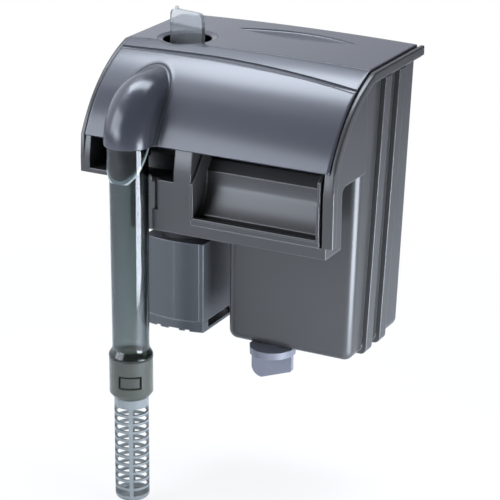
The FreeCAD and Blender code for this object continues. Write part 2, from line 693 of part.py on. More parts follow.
def rail(index, side):
    """A guide rail on the left wall, before or behind a cartridge."""
    start = f"face_y + pilaster_front + {index} * pilaster_pitch"
    near = f"{start} + (pilaster_width - cartridge_thick) / 2 - rail_thick - loose_gap"
    far = f"{start} + (pilaster_width + cartridge_thick) / 2 + loose_gap"
    place = near if side == 0 else far
    lean = "pilaster_lean * (cartridge_top - floor_z) / (case_top - floor_z)"
    return prism(f"rail_{index}_{side}", "YZ", [
        (place, "floor_z + foot_corner"),
        (f"{place} + rail_thick", "floor_z + foot_corner"),
        (f"{place} + rail_thick + {lean}", "cartridge_top"),
        (f"{place} + {lean}", "cartridge_top"),
    ], "box_x + wall / 2", "box_x + wall + rail_depth")


rails = [rail(index, side) for index in range(2) for side in range(2)]

case_solid = fuse("case_solid", core_round, overhang, *rims, *pilasters)
case_open = cut("case_open", case_solid, main_cavity, pump_cavity, chute_bay, weir, intake_bay,
                saddle, saddle_mouth, panel_room, panel_back, panel_hollow, panel_notch, tube_hole,
                tube_slot, post_hollow, spigot_hole, divider_port, divider_top, *channels, *flutes)
case_whole = fuse("case_whole", case_open, cam_boss, *rails)
node(cut("case_drilled", case_whole, cam_socket), "filter_case")

# The chute

ramp = prism("ramp", "YZ", [
    ("front_y + 1.2", "-sill_drop - 3.6"),
    ("front_y + 1.2", "-sill_drop - sill_band"),
    ("slot_front_y - wall - 9", "-sill_drop - sill_band"),
    ("slot_front_y - wall - 0.4", "-slot_corner - 5"),
    ("slot_front_y - wall - 0.4", "-slot_corner"),
    ("slot_front_y + slot_corner", "wall + 0.4", "slot_corner + wall + 0.4", -1),
    ("face_y - 0.4", "wall + 0.4"),
    ("face_y - 0.4", "weir_height - 4.6"),
    ("slot_front_y + 1.4", "wall + 2.1"),
    ("slot_front_y - wall - 1.5", "3.5 - slot_corner"),
    ("slot_front_y - wall - 1.6", "-slot_corner - 4.5"),
    ("front_y + ramp_toe", "0.2 - sill_drop", "ramp_hollow", -1),
    ("front_y + ramp_toe", "0.2 - sill_drop - toe_thick"),
    ("front_y + ramp_toe + 1", "-sill_drop - toe_thick - 0.6"),
    ("front_y + ramp_toe + 1", "-sill_drop - 3.6"),
], "chute_x", "chute_end")
sill = prism("sill", "XZ", [
    ("chute_x - frame_band", "-sill_drop - frame_lip"),
    ("chute_end", "-sill_drop - frame_lip"),
    ("chute_end", "-frame_top_drop"),
    ("chute_end - chute_wall", "-frame_top_drop"),
    ("chute_end - chute_wall", "-sill_drop"),
    ("chute_x + chute_wall", "-sill_drop"),
    ("chute_x + chute_wall", "-frame_top_drop"),
    ("chute_x - frame_band", "-frame_top_drop"),
], "front_y - frame_proud", "front_y")
sill_back = block("sill_back", "chute_x", "chute_end", "front_y - 0.01", "front_y + wall",
                  "-sill_drop - sill_band", "-sill_drop")


def cheek_points(height, front_height):
    """Side view of the chute's side walls, from the ramp up under the hood."""
    return [
        ("front_y", "-sill_drop - sill_band"),
        ("slot_front_y - wall - 9", "-sill_drop - sill_band"),
        ("slot_front_y - wall - 0.4", "-slot_corner - 5"),
        ("slot_front_y - wall - 0.4", "-slot_corner"),
        ("slot_front_y + slot_corner", "wall + 0.4", "slot_corner + wall + 0.4", -1),
        ("face_y - 0.4", "wall + 0.4"),
        ("face_y - 0.4", height),
        ("slot_front_y", height),
        ("front_y", front_height),
    ]


left_cheek = prism("chute_left_wall", "YZ", cheek_points("weir_height + 8", "-frame_top_drop"),
                   "chute_x", "chute_x + chute_wall")
right_cheek = prism("chute_right_wall", "YZ", cheek_points("weir_height + 8", "lip_height - 6"),
                    "chute_end - chute_wall", "chute_end")
node(fuse("chute", ramp, sill, sill_back, left_cheek, right_cheek), "spillway_chute")

# The lid

LID_BACK = "back_y - lid_back_gap"

lid_outer = prism("lid_outer", "YZ", [
    (hood_point("0", "lip_height"), "lip_height", "hood_radius", 1),
    (LID_BACK, "lip_height"),
    (LID_BACK, "top_height"),
    ("crest_y", "top_height"),
], "-body_width / 2", "body_width / 2")
lid_inner = prism("lid_inner", "YZ", [
    (hood_point("lid_wall", "lip_height"), "lip_height", "hood_radius - lid_wall", 1),
    (hood_point("lid_wall", "lip_height"), "lip_height - 5"),
    (LID_BACK + " + 5", "lip_height - 5"),
    (LID_BACK + " + 5", "top_height - lid_wall"),
    (hood_point("lid_wall", "top_height - lid_wall"), "top_height - lid_wall"),
], "-body_width", "body_width")
lid_skin = cut("lid_skin", lid_outer, lid_inner)


def below_bend(name, half, low, back):
    """What lies under the middle line of the elbow's bend and level run."""
    return prism(name, "YZ", [
        ("tube_y", low),
        (back, low),
        (back, "run_height"),
        ("bend_y", "run_height"),
        ("tube_y", "bend_z", "elbow_bend", 1),
    ], f"intake_x - {half}", f"intake_x + {half}")


BULGE_FOOT = "bend_z - elbow_bend"
bulge_pipe = fuse(
    "bulge_pipe",
    rod("bulge_leg", "shroud_radius", "intake_x", "tube_y", BULGE_FOOT, "bend_z"),
    elbow_arc("bulge_arc", "shroud_radius"),
    rod_y("bulge_run", "shroud_radius", "intake_x", "run_height", "bend_y",
          "slot_front_y + 8"),
    below_bend("bulge_sides", "(shroud_radius - 0.1)", BULGE_FOOT, "slot_front_y - 8"),
)
bulge = cut("bulge", bulge_pipe, block(
    "below_lip", "intake_x - 2 * shroud_radius", "intake_x + 2 * shroud_radius",
    "tube_y - 2 * shroud_radius", "face_y", f"{BULGE_FOOT} - 1", "lip_height"))
bulge_hollow = [
    rod("hollow_leg", "shroud_bore", "intake_x", "tube_y", f"{BULGE_FOOT} - 1", "bend_z"),
    elbow_arc("hollow_arc", "shroud_bore"),
    rod_y("hollow_run", "shroud_bore", "intake_x", "run_height", "bend_y", "face_y"),
    below_bend("hollow_below", "(shroud_bore - 0.1)", f"{BULGE_FOOT} - 1", "face_y"),
]
knob_hole = rod("knob_hole", "knob_hole_radius", "intake_x", "pump_y", "top_height - 10",
                "top_height + 5")
knob_dish = doc.addObject("Part::Cone", "knob_dish")
bind(knob_dish, "Radius1", "knob_hole_radius")
bind(knob_dish, "Radius2", "knob_dish_radius")
bind(knob_dish, "Height", "lid_wall / 2 + 0.01")
put(knob_dish, "intake_x", "pump_y", "top_height - lid_wall / 2")


def lens(name, grow, z0, z1):
    """A lens in plan, made of two arcs, between two heights."""
    half = f"(grip_length / 2 + {grow})"
    rise = f"(grip_width / 2 + {grow})"
    radius = f"({half} * {half} + {rise} * {rise}) / (2 * {rise})"
    middle = "(face_y + grip_setback)"
    return prism(name, "XY", [
        (f"grip_middle - {half}", middle, radius, 1),
        (f"grip_middle + {half}", middle, radius, 1),
    ], z0, z1)


grip_pan = lens("grip_pan", "1.6", "top_height - grip_depth - 1.8", "top_height - lid_wall / 2")
grip_cut = lens("grip_cut", "0", "top_height - grip_depth", "top_height + 1")
ribs_under = [
    block("lid_rib_right", "case_half - wall - lid_seat - 1.6", "case_half - wall - lid_seat",
          "crest_y + 6", LID_BACK + " - 6", "top_height - lid_wall - lid_rib",
          "top_height - lid_wall / 2"),
    block("lid_rib_left", "-case_half + wall + lid_seat", "-case_half + wall + lid_seat + 1.6",
          "crest_y + 6", LID_BACK + " - 6", "top_height - lid_wall - lid_rib",
          "top_height - lid_wall / 2"),
]
lid_added = fuse("lid_added", lid_skin, bulge, grip_pan, *ribs_under)
node(cut("lid_cut", lid_added, knob_hole, knob_dish, grip_cut, *bulge_hollow), "lid")

# The clear elbow

elbow_body = fuse(
    "elbow_body",
    rod("elbow_leg", "elbow_radius", "intake_x", "tube_y", "tongue_z", "bend_z"),
    elbow_arc("elbow_arc_outer", "elbow_radius"),
    rod_y("elbow_run", "elbow_radius", "intake_x", "run_height", "bend_y", "pump_y"),
    rod("elbow_tower", "tower_radius", "intake_x", "pump_y", "tower_foot", "tower_top"),
)
mouth = prism("elbow_mouth", "YZ", [
    ("tube_y - elbow_radius - 3", "tongue_z - 1"),
    ("tube_y + elbow_radius + 3", "tongue_z - 1"),
    ("tube_y + elbow_radius + 3", "socket_z"),
    ("tube_y - 2", "socket_z"),
    ("tube_y - elbow_radius + 1.5", "tongue_z"),
    ("tube_y - elbow_radius - 3", "tongue_z"),
], "intake_x - elbow_radius - 3", "intake_x + elbow_radius + 3")
node(cut(
    "elbow",
    elbow_body,
    rod("elbow_leg_bore", "elbow_bore", "intake_x", "tube_y", "tongue_z - 1", "bend_z"),
    elbow_arc("elbow_arc_bore", "elbow_bore"),
    rod_y("elbow_run_bore", "elbow_bore", "intake_x", "run_height", "bend_y", "pump_y"),
    rod("tower_room", "tower_bore", "intake_x", "pump_y", "tower_foot + tower_wall",
        "tower_top + 1"),
    rod("tower_inlet", "inlet_radius + cover_wall + run_fit", "intake_x", "pump_y",
        "tower_foot - 1", "tower_foot + tower_wall + 1"),
    mouth,
), "intake_elbow")

node(turned("tube_ring", [
    ("tube_radius - 0.85", "-2.8"), ("elbow_bore - 0.02", "-2.8"),
    ("elbow_bore - 0.02", "-1.2"), ("tube_radius - 0.85", "-1.2"),
], "intake_x", "tube_y", "tube_top"), "tube_seal")

# Intake tube, collar and strainer

node(turned("tube", [
    ("tube_radius - tube_wall", "0"),
    ("tube_radius - tube_wall", "tube_end + bell_height - tube_top"),
    ("bell_radius - tube_wall", "tube_end + bell_height / 3 - tube_top"),
    ("bell_radius - tube_wall", "tube_end - tube_top"),
    ("bell_radius", "tube_end - tube_top"),
    ("bell_radius", "tube_end + bell_height / 5 - tube_top"),
    ("tube_radius - tube_taper", "tube_end + bell_height - tube_top"),
    ("tube_radius", "-tube_engaged"),
    ("tube_radius", "-2.85"),
    ("tube_radius - 0.9", "-2.85"),
    ("tube_radius - 0.9", "-1.15"),
    ("tube_radius", "-1.15"),
    ("tube_radius", "0"),
], "intake_x", "tube_y", "tube_top"), "intake_tube")

NECK = "(bell_radius - tube_wall - run_fit)"
collar = turned("collar_body", [
    ("strainer_radius - strainer_wall", "0"),
    (NECK, "0"),
    (NECK, "bell_height / 3 - 0.4"),
    ("tube_radius - tube_wall", "bell_height / 3 - 0.4"),
    ("tube_radius - tube_wall", "0.01"),
], "intake_x", "tube_y", "collar_top")
collar_shell = turned("collar_shell", [
    ("strainer_radius + run_fit", "-collar_length"),
    ("collar_radius - 2", "-collar_length"),
    ("collar_radius", "collar_bevel - collar_length"),
    ("collar_radius", "-0.6"),
    ("collar_radius - 0.6", "0"),
    ("tube_radius - tube_wall", "0"),
    ("tube_radius - tube_wall", "-2"),
    ("strainer_radius + run_fit", "-2 - tube_wall"),
], "intake_x", "tube_y", "collar_top")
collar_neck = turned("collar_neck", [
    ("tube_radius - tube_wall", "-1"),
    (NECK, "-1"),
    (NECK, "bell_height / 3 - 0.4"),
    ("tube_radius - tube_wall", "bell_height / 3 - 0.4"),
], "intake_x", "tube_y", "collar_top")
window = doc.addObject("Part::Cylinder", "clip_window")
bind(window, "Radius", "collar_radius + 2")
bind(window, "Height", "window_height")
window.Angle = 64
window.Placement = FreeCAD.Placement(FreeCAD.Vector(), FreeCAD.Rotation(
    FreeCAD.Vector(0, 0, 1), -90 + value("rib_turn") - 32))
put(window, "intake_x", "tube_y", "collar_top - window_drop - window_height")
clip = doc.addObject("Part::Cylinder", "clip_tongue")
bind(clip, "Radius", "collar_radius - 0.3")
bind(clip, "Height", "window_height - 2.4")
clip.Angle = 52
clip.Placement = FreeCAD.Placement(FreeCAD.Vector(), FreeCAD.Rotation(
    FreeCAD.Vector(0, 0, 1), -90 + value("rib_turn") - 26))
put(clip, "intake_x", "tube_y", "collar_top - window_drop - window_height + 1.2")
clip_core = rod("clip_core", "strainer_radius - 0.3", "intake_x", "tube_y",
                "collar_end - 1", "collar_top")
clip_piece = cut("clip_piece", clip, clip_core)
node(cut("collar", fuse("collar_joined", collar_shell, collar_neck), window), "strainer_collar")

STRAINER_TOP = "(collar_top - 4)"
basket = turned("basket", [
    ("0", "0"),
    ("strainer_radius - 3", "0"),
    ("strainer_radius", "3", "3", 1),
    ("strainer_radius", f"{STRAINER_TOP} + strainer_drop"),
    ("strainer_radius - strainer_wall", f"{STRAINER_TOP} + strainer_drop"),
    ("strainer_radius - strainer_wall", "3"),
    ("strainer_radius - 3", "strainer_wall", "3 - strainer_wall", -1),
    ("0", "strainer_wall"),
], "intake_x", "tube_y", "-strainer_drop")
slots = []
for row in range(int(value("slot_rows"))):
    for quarter in range(4):
        slot = doc.addObject("Part::Cylinder", f"slot_{row}_{quarter}")
        bind(slot, "Radius", "strainer_radius + 1")
        bind(slot, "Height", "slot_height")
        rib_angle = math.degrees(value("rib_width / strainer_radius"))
        slot.Angle = 90 - rib_angle
        turn = value("rib_turn") - 90 + 90 * quarter + rib_angle / 2
        slot.Placement = FreeCAD.Placement(
            FreeCAD.Vector(), FreeCAD.Rotation(FreeCAD.Vector(0, 0, 1), turn))
        put(slot, "intake_x", "tube_y",
            f"-strainer_drop + strainer_wall + 2.6 + {row} * slot_pitch")
        slots.append(slot)
node(fuse("strainer_solid", cut("strainer_cut", basket, *slots), clip_piece), "strainer")

# Flow knob and valve

disc = rod("knob_base", "knob_radius", "0", "0", "0", "knob_disc")
plug = rod("knob_plug", "sleeve_radius", "0", "0", "-4", "0.01")
groove = cut("knob_groove", rod("groove_outside", "sleeve_radius + 1", "0", "0", "-2.55", "-0.95"),
             rod("groove_inside", "sleeve_radius - 1.3", "0", "0", "-3", "0"))
tab = prism("knob_tab", "XZ", [
    ("-tab_width / 2", "knob_disc - 0.01"),
    ("tab_width / 2", "knob_disc - 0.01"),
    ("tab_width / 2", "tab_top - tower_top - tab_corner"),
    ("tab_width / 2 - tab_corner", "tab_top - tower_top", "tab_corner", 1),
    ("tab_corner - tab_width / 2", "tab_top - tower_top"),
    ("-tab_width / 2", "tab_top - tower_top - tab_corner", "tab_corner", 1),
], "-tab_thick / 2", "tab_thick / 2")
nub = rod("knob_nub", "1.3", "4.5 - tab_width / 2", "0", "tab_top - tower_top - 0.5",
          "tab_top - tower_top + 1.6")
knob = cut("knob", fuse("knob_joined", disc, plug, tab, nub), groove)
knob.Placement = FreeCAD.Placement(FreeCAD.Vector(), FreeCAD.Rotation(
    FreeCAD.Vector(0, 0, 1), -value("tab_turn")))
put(knob, "intake_x", "pump_y", "tower_top + 0.05")
node(knob, "flow_knob")

SLEEVE_END = "(run_height - elbow_bore - 1)"
sleeve_tube = turned("sleeve_tube", [
    ("sleeve_radius - sleeve_wall", f"{SLEEVE_END} - tower_top + 4"),
    ("sleeve_radius", f"{SLEEVE_END} - tower_top + 4"),
    ("sleeve_radius", "0"),
    ("sleeve_radius - sleeve_wall", "0"),
], "intake_x", "pump_y", "tower_top - 3.95")
sleeve_window = block("sleeve_window", "intake_x - sleeve_radius * 0.8",
                      "intake_x + sleeve_radius * 0.8",
                      "pump_y - sleeve_radius - 1", "pump_y",
                      "run_height - elbow_bore + 1.5", "run_height + elbow_bore - 2")
node(cut("sleeve", sleeve_tube, sleeve_window), "valve_sleeve")

node(turned("knob_ring", [
    ("sleeve_radius - 1.25", "-2.5"), ("tower_bore - 0.02", "-2.5"),
    ("tower_bore - 0.02", "-1"), ("sleeve_radius - 1.25", "-1"),
], "intake_x", "pump_y", "tower_top + 0.05"), "valve_seal")

# Pump: cover, impeller, shaft and bushes

cover_shell = turned("cover_shell", [
    ("spigot_radius + 0.6", "0"),
    ("cover_radius + 0.6", "0"),
    ("cover_radius + 0.6", "1.6"),
    ("cover_radius", "1.6"),
    ("cover_radius", "cover_height"),
    ("inlet_radius + cover_wall", "cover_height"),
    ("inlet_radius + cover_wall", "tower_foot + tower_wall + 2 - chamber_floor"),
    ("inlet_radius", "tower_foot + tower_wall + 2 - chamber_floor"),
    ("inlet_radius", "cover_height - cover_wall"),
    ("cover_radius - cover_wall", "cover_height - cover_wall"),
    ("cover_radius - cover_wall", "3.2"),
    ("spigot_radius + 0.6", "3.2"),
], "intake_x", "pump_y", "chamber_floor + 0.05")
cover_port = block("cover_port", "intake_x + 4", "intake_x + cover_radius + 3", "pump_y - 8",
                   "pump_y + 8", "chamber_floor + 4.5", "cover_top - cover_wall - 1")
spider = [
    block("spider_x", "intake_x - inlet_radius - 0.5", "intake_x + inlet_radius + 0.5",
          "pump_y - 0.8", "pump_y + 0.8", "cover_top - 1.6", "cover_top + 0.6"),
    block("spider_y", "intake_x - 0.8", "intake_x + 0.8", "pump_y - inlet_radius - 0.5",
          "pump_y + inlet_radius + 0.5", "cover_top - 1.6", "cover_top + 0.6"),
    rod("spider_hub", "shaft_radius + 2.4", "intake_x", "pump_y", "cover_top - 1.6",
        "cover_top + 2.4"),
]
spider_bore = rod("spider_bore", "shaft_radius + 1.2", "intake_x", "pump_y", "cover_top - 2",
                  "cover_top + 1.6")
node(cut("cover", fuse("cover_joined", cut("cover_open", cover_shell, cover_port), *spider),
         spider_bore), "impeller_cover")

node(turned("bush_up", [
    ("shaft_radius + 0.02", "0"), ("shaft_radius + 1.15", "0"),
    ("shaft_radius + 1.15", "3.1"), ("shaft_radius + 0.02", "3.1"),
], "intake_x", "pump_y", "cover_top - 1.55"), "upper_bush")

node(turned("bush_low", [
    ("shaft_radius + 0.02", "0.8"), ("shaft_radius + 0.02", "bush_height"),
    ("bush_radius", "bush_height"), ("bush_radius", "0"), ("0", "0"), ("0", "0.8"),
], "intake_x", "pump_y", "well_floor"), "lower_bush")

node(turned("shaft", [
    ("0", "0"), ("shaft_radius", "0"), ("shaft_radius", "cover_top + 1.4 - well_floor - 0.9"),
    ("0", "cover_top + 1.4 - well_floor - 0.9"),
], "intake_x", "pump_y", "well_floor + 0.9"), "impeller_shaft")

node(turned("magnet", [
    ("shaft_radius + 0.05", "0"), ("magnet_radius", "0"),
    ("magnet_radius", "magnet_length"), ("shaft_radius + 0.05", "magnet_length"),
], "intake_x", "pump_y", "magnet_z"), "rotor_magnet")

wheel = turned("wheel", [
    ("shaft_radius + 0.05", "magnet_top - vane_z"),
    ("hub_radius", "magnet_top - vane_z"),
    ("hub_radius", "0"),
    ("vane_radius - 2", "0"),
    ("vane_radius - 2", "1.2"),
    ("hub_radius", "1.2"),
    ("hub_radius", "vane_height"),
    ("shaft_radius + 0.05", "vane_height"),
], "intake_x", "pump_y", "vane_z")
vane_sketch = wheel.newObject("Sketcher::SketchObject", "vane_outline")
vane_plane = [f for f in wheel.Origin.OriginFeatures if f.Role == "XY_Plane"][0]
vane_sketch.AttachmentSupport = [(vane_plane, "")]
vane_sketch.MapMode = "FlatFace"
draw(vane_sketch, [
    ("hub_radius - 0.6", "-vane_thick / 2"),
    ("vane_radius", "-vane_thick / 2"),
    ("vane_radius", "vane_thick / 2"),
    ("hub_radius - 0.6", "vane_thick / 2"),
])
vane = wheel.newObject("PartDesign::Pad", "vane")
vane.Profile = vane_sketch
bind(vane, "Length", "vane_height")
doc.recompute()
vanes = wheel.newObject("PartDesign::PolarPattern", "vanes")
vanes.Originals = [vane]
vanes.Axis = (vane_sketch, ["N_Axis"])
vanes.Angle = 360
bind(vanes, "Occurrences", "vane_count")
wheel.Tip = vanes
node(wheel, "impeller")

# Motor


def motor_outline(inset):
    """Plan of the motor: a rectangle with round corners and a bowed front."""
    i = inset
    left = f"intake_x - motor_width / 2 + {i}"
    right = f"intake_x + motor_width / 2 - {i}"
    front = f"motor_front + {i}"
    back = f"motor_back - {i}"
    half = f"(motor_width / 2 - {i} - 1.5)"
    bow = f"({half} * {half} + motor_bow * motor_bow) / (2 * motor_bow)"
    return [
        (f"{left} + 1.5", front, "1.5", 1),
        (f"{right} - 1.5", front, bow, 1),
        (right, f"{front} + 1.5", "1.5", 1),
        (right, f"{back} - 3"),
        (f"{right} - 3", back, "3", 1),
        (f"{left} + 3", back),
        (left, f"{back} - 3", "3", 1),
        (left, f"{front} + 1.5"),
    ]


motor_block = prism("motor_block", "XY", motor_outline("0"), "-motor_joint_drop", "motor_top")
motor_room = prism("motor_room", "XY", motor_outline("motor_wall"), "-motor_joint_drop - 1",
                   "motor_top - motor_wall")
spigot = rod("spigot", "spigot_radius", "intake_x", "pump_y", "motor_top - 1", "spigot_top")
well = rod("well", "well_radius + well_wall", "intake_x", "pump_y", "well_floor - well_wall",
           "motor_top")
well_bore = rod("well_bore", "well_radius", "intake_x", "pump_y", "well_floor", "spigot_top + 1")
SCREW_SPOTS = [
    (f"intake_x {sx} (motor_width / 2 - motor_wall - 3)", spot)
    for sx in ("-", "+")
    for spot in ("motor_front + motor_wall + 3.4", "motor_back - motor_wall - 3.4")
]
BOSS_TOP = "-motor_joint_drop + screw_length"
bosses = [rod(f"boss_{i}", "3.6", x, y, "-motor_joint_drop", BOSS_TOP)
          for i, (x, y) in enumerate(SCREW_SPOTS)]
pilots = [rod(f"pilot_{i}", "screw_shank", x, y, "-motor_joint_drop - 1", f"{BOSS_TOP} - 1.4")
          for i, (x, y) in enumerate(SCREW_SPOTS)]
motor_shell = cut("motor_shell", motor_block, motor_room)
bosses_in = common("bosses_in", fuse("bosses_all", *bosses), motor_block)
gland_hole = rod_y("gland_hole", "gland_radius - 1.4", "intake_x", "-motor_joint_drop + 9",
                   "motor_back - motor_wall - 1", "motor_back + 1")
middle_seam = block("middle_seam", "intake_x + 1.5 - seam_width / 2",
                    "intake_x + 1.5 + seam_width / 2", "motor_front - 2 * motor_bow",
                    "motor_front - motor_bow + seam_depth", "-motor_joint_drop - 1",
                    "motor_top + 1")
corner_seam = block("corner_seam", "intake_x + motor_width / 2 - 3",
                    "intake_x + motor_width / 2 - 3 + seam_width", "motor_front - 2 * motor_bow",
                    "motor_front - 0.4 + seam_depth", "-motor_joint_drop - 1", "motor_top + 1")
node(cut("motor_case", fuse("motor_joined", motor_shell, spigot, well, bosses_in), well_bore,
         gland_hole, middle_seam, corner_seam, *pilots), "motor_housing")

node(turned("seal_ring", [
    ("spigot_radius + run_fit", "0"), ("spigot_radius + seal_wall", "0"),
    ("spigot_radius + seal_wall", "seal_height"), ("spigot_radius + run_fit", "seal_height"),
], "intake_x", "pump_y", "motor_top + 0.05"), "motor_seal")

HEAD_DEEP = "(screw_head - 0.9)"
cover_plate = prism("cover_plate", "XY", motor_outline("0"), "-motor_bottom_drop",
                    "-motor_joint_drop - 0.3")
cover_hollow = prism("cover_hollow", "XY", motor_outline("motor_wall + 5"),
                     "-motor_bottom_drop + motor_wall", "-motor_joint_drop")
foot_notches = [
    block(f"foot_notch_{i}", x0, x1, "motor_front - 8", "motor_back + 2",
          "-motor_bottom_drop - 1", "-motor_bottom_drop + 1.1")
    for i, (x0, x1) in enumerate([
        ("intake_x - 3", "intake_x + 5"),
        ("intake_x + 9", "intake_x + 12.5"),
        ("intake_x - 12.5", "intake_x - 9"),
    ])
]
head_rooms = [rod(f"head_room_{i}", "screw_head + 0.3", x, y, "-motor_bottom_drop - 1",
                  f"-motor_bottom_drop + {HEAD_DEEP} + 1.2")
              for i, (x, y) in enumerate(SCREW_SPOTS)]
shank_rooms = [rod(f"shank_room_{i}", "screw_shank + 0.25", x, y, "-motor_bottom_drop - 1",
                   "-motor_joint_drop + 1")
               for i, (x, y) in enumerate(SCREW_SPOTS)]
node(cut("bottom_cover", cover_plate, cover_hollow, *foot_notches, *head_rooms, *shank_rooms),
     "motor_bottom_cover")

screws = []
for i, (x, y) in enumerate(SCREW_SPOTS):
    head_z = f"(-motor_bottom_drop + {HEAD_DEEP} + 1.2)"
    head = rod(f"screw_head_{i}", "screw_head", x, y, f"{head_z} - {HEAD_DEEP}", head_z)
    shank = rod(f"screw_shank_{i}", "screw_shank - 0.02", x, y, f"{head_z} - 0.01",
                f"{BOSS_TOP} - 1.8")
    recess = block(f"screw_slot_{i}", f"{x} - screw_head", f"{x} + screw_head", f"{y} - 0.4",
                   f"{y} + 0.4", f"{head_z} - {HEAD_DEEP} - 1", f"{head_z} - {HEAD_DEEP} + 1")
    screws.append(cut(f"screw_{i}", fuse(f"screw_solid_{i}", head, shank), recess))
screw_set = doc.addObject("Part::Compound", "screw_set")
screw_set.Links = screws
node(screw_set, "motor_screws")

gland_z = "(-motor_joint_drop + 9)"
gland = fuse(
    "gland_solid",
    rod_y("gland_neck", "gland_radius - 1.45", "intake_x", gland_z, "motor_back - motor_wall",
          "motor_back + 0.5"),
    rod_y("gland_cap", "gland_radius", "intake_x", gland_z, "motor_back + 0.05",
          "motor_back + gland_reach"),
)
node(cut("gland", gland, rod_y("gland_hole_through", "gland_bore", "intake_x", gland_z,
                               "motor_back - motor_wall - 1", "motor_back + gland_reach + 1")),
     "cord_gland")

CORE_HALF = "(well_radius + well_wall + 0.4 + core_limb)"
CORE_BACK = "(pump_y + motor_behind - motor_wall - 4.6)"
CORE_LOW = "(core_mid - core_stack / 2)"
CORE_HIGH = "(core_mid + core_stack / 2)"
core_block = block("core_block", f"intake_x - {CORE_HALF}", f"intake_x + {CORE_HALF}",
                   "pump_y - well_radius - well_wall - 2.6", CORE_BACK, CORE_LOW, CORE_HIGH)
core_window = block("core_window", f"intake_x - {CORE_HALF} + core_limb",
                    f"intake_x + {CORE_HALF} - core_limb",
                    "pump_y + well_radius + well_wall - 1.5", f"{CORE_BACK} - core_limb",
                    f"{CORE_LOW} - 1", f"{CORE_HIGH} + 1")
core_bore = rod("core_bore", "well_radius + well_wall + 0.02", "intake_x", "pump_y",
                f"{CORE_LOW} - 1", f"{CORE_HIGH} + 1")
core_gap = block("core_gap", "intake_x - 1.5", "intake_x + 1.5",
                 "pump_y - well_radius - well_wall - 4", "pump_y", f"{CORE_LOW} - 1",
                 f"{CORE_HIGH} + 1")
node(cut("core_iron", core_block, core_window, core_bore, core_gap), "stator_core")

COIL_HALF = f"({CORE_HALF} - core_limb - 0.5)"


def around_limb(name, margin_y, margin_z, half, bore_gap):
    """A ring round the core's back limb."""
    outer = block(name + "_outer", f"intake_x - {half}", f"intake_x + {half}",
                  f"{CORE_BACK} - core_limb - {margin_y}", f"{CORE_BACK} + {margin_y}",
                  f"{CORE_LOW} - {margin_z}", f"{CORE_HIGH} + {margin_z}")
    inner = block(name + "_inner", f"intake_x - {half} - 1", f"intake_x + {half} + 1",
                  f"{CORE_BACK} - core_limb - {bore_gap}", f"{CORE_BACK} + {bore_gap}",
                  f"{CORE_LOW} - {bore_gap}", f"{CORE_HIGH} + {bore_gap}")
    return cut(name, outer, inner)


node(around_limb("bobbin", "1.2", "1.2", COIL_HALF, "0.05"), "coil_bobbin")
node(around_limb("winding", "4.2", "(coil_height - core_stack) / 2", f"({COIL_HALF} - 1)",
                 "1.25"), "coil_winding")

# Cartridges and carbon


def cartridge_prism(name, index, grow, x0, x1_offset, bottom, top):
    """A leaning slab that fills a cartridge's place, narrowed by grow."""
    start = f"face_y + pilaster_front + {index} * pilaster_pitch + pilaster_width / 2"
    half = f"(cartridge_thick / 2 - {grow})"

    def lean(height):
        return f"pilaster_lean * (({height}) - floor_z) / (case_top - floor_z)"

    side = prism(name + "_side", "YZ", [
        (f"{start} - {half} + {lean(bottom)}", bottom),
        (f"{start} + {half} + {lean(bottom)}", bottom),
        (f"{start} + {half} + {lean(top)}", top),
        (f"{start} - {half} + {lean(top)}", top),
    ], "-body_width", "body_width")
    front = prism(name + "_front", "XZ", [
        (x0, bottom),
        (f"{right_wall(bottom)} + {x1_offset}", bottom),
        (f"{right_wall(top)} + {x1_offset}", top),
        (x0, top),
    ], "face_y", "back_y")
    return common(name, side, front)


CART_LEFT = "box_x + wall + loose_gap"
CART_RIGHT = "channel_depth - wall - loose_gap"
CART_LOW = "floor_z + foot_corner + loose_gap"
for index, place in enumerate(("front", "rear")):
    slab = cartridge_prism(f"frame_slab_{index}", index, "0", CART_LEFT, CART_RIGHT, CART_LOW,
                           "cartridge_top")
    hole = cartridge_prism(f"frame_hole_{index}", index, "-1", f"{CART_LEFT} + cartridge_frame",
                           f"{CART_RIGHT} - cartridge_frame", f"{CART_LOW} + cartridge_frame",
                           "cartridge_top - cartridge_frame")
    node(cut(f"cartridge_{index}", slab, hole), f"cartridge_frame_{place}")
    pad = cartridge_prism(f"pad_slab_{index}", index, "(cartridge_thick - pad_thick) / 2",
                          f"{CART_LEFT} + cartridge_frame + 0.1", f"{CART_RIGHT} - cartridge_frame - 0.1",
                          f"{CART_LOW} + cartridge_frame + 0.1",
                          "cartridge_top - cartridge_frame - 0.1")
    node(pad, f"filter_pad_{place}")

CARBON_Y = "(face_y + pilaster_front + pilaster_width / 2 + pilaster_pitch / 2)"
carbon_lean = "pilaster_lean * (cartridge_top - floor_z) / (case_top - floor_z)"
node(prism("carbon", "YZ", [
    (f"{CARBON_Y} - carbon_thick / 2 + 2", "floor_z + wall + 0.05"),
    (f"{CARBON_Y} + carbon_thick / 2 - 2", "floor_z + wall + 0.05"),
    (f"{CARBON_Y} + carbon_thick / 2", "floor_z + wall + 12"),
    (f"{CARBON_Y} + carbon_thick / 2 + {carbon_lean}", "cartridge_top - 30"),
    (f"{CARBON_Y} + carbon_thick / 2 - 2 + {carbon_lean}", "cartridge_top - 20"),
    (f"{CARBON_Y} - carbon_thick / 2 + 2 + {carbon_lean}", "cartridge_top - 20"),
    (f"{CARBON_Y} - carbon_thick / 2 + {carbon_lean}", "cartridge_top - 30"),
    (f"{CARBON_Y} - carbon_thick / 2", "floor_z + wall + 12"),
], "box_x + wall + 8", "right_foot - wall - 6"), "carbon_bag")

# Level adjuster

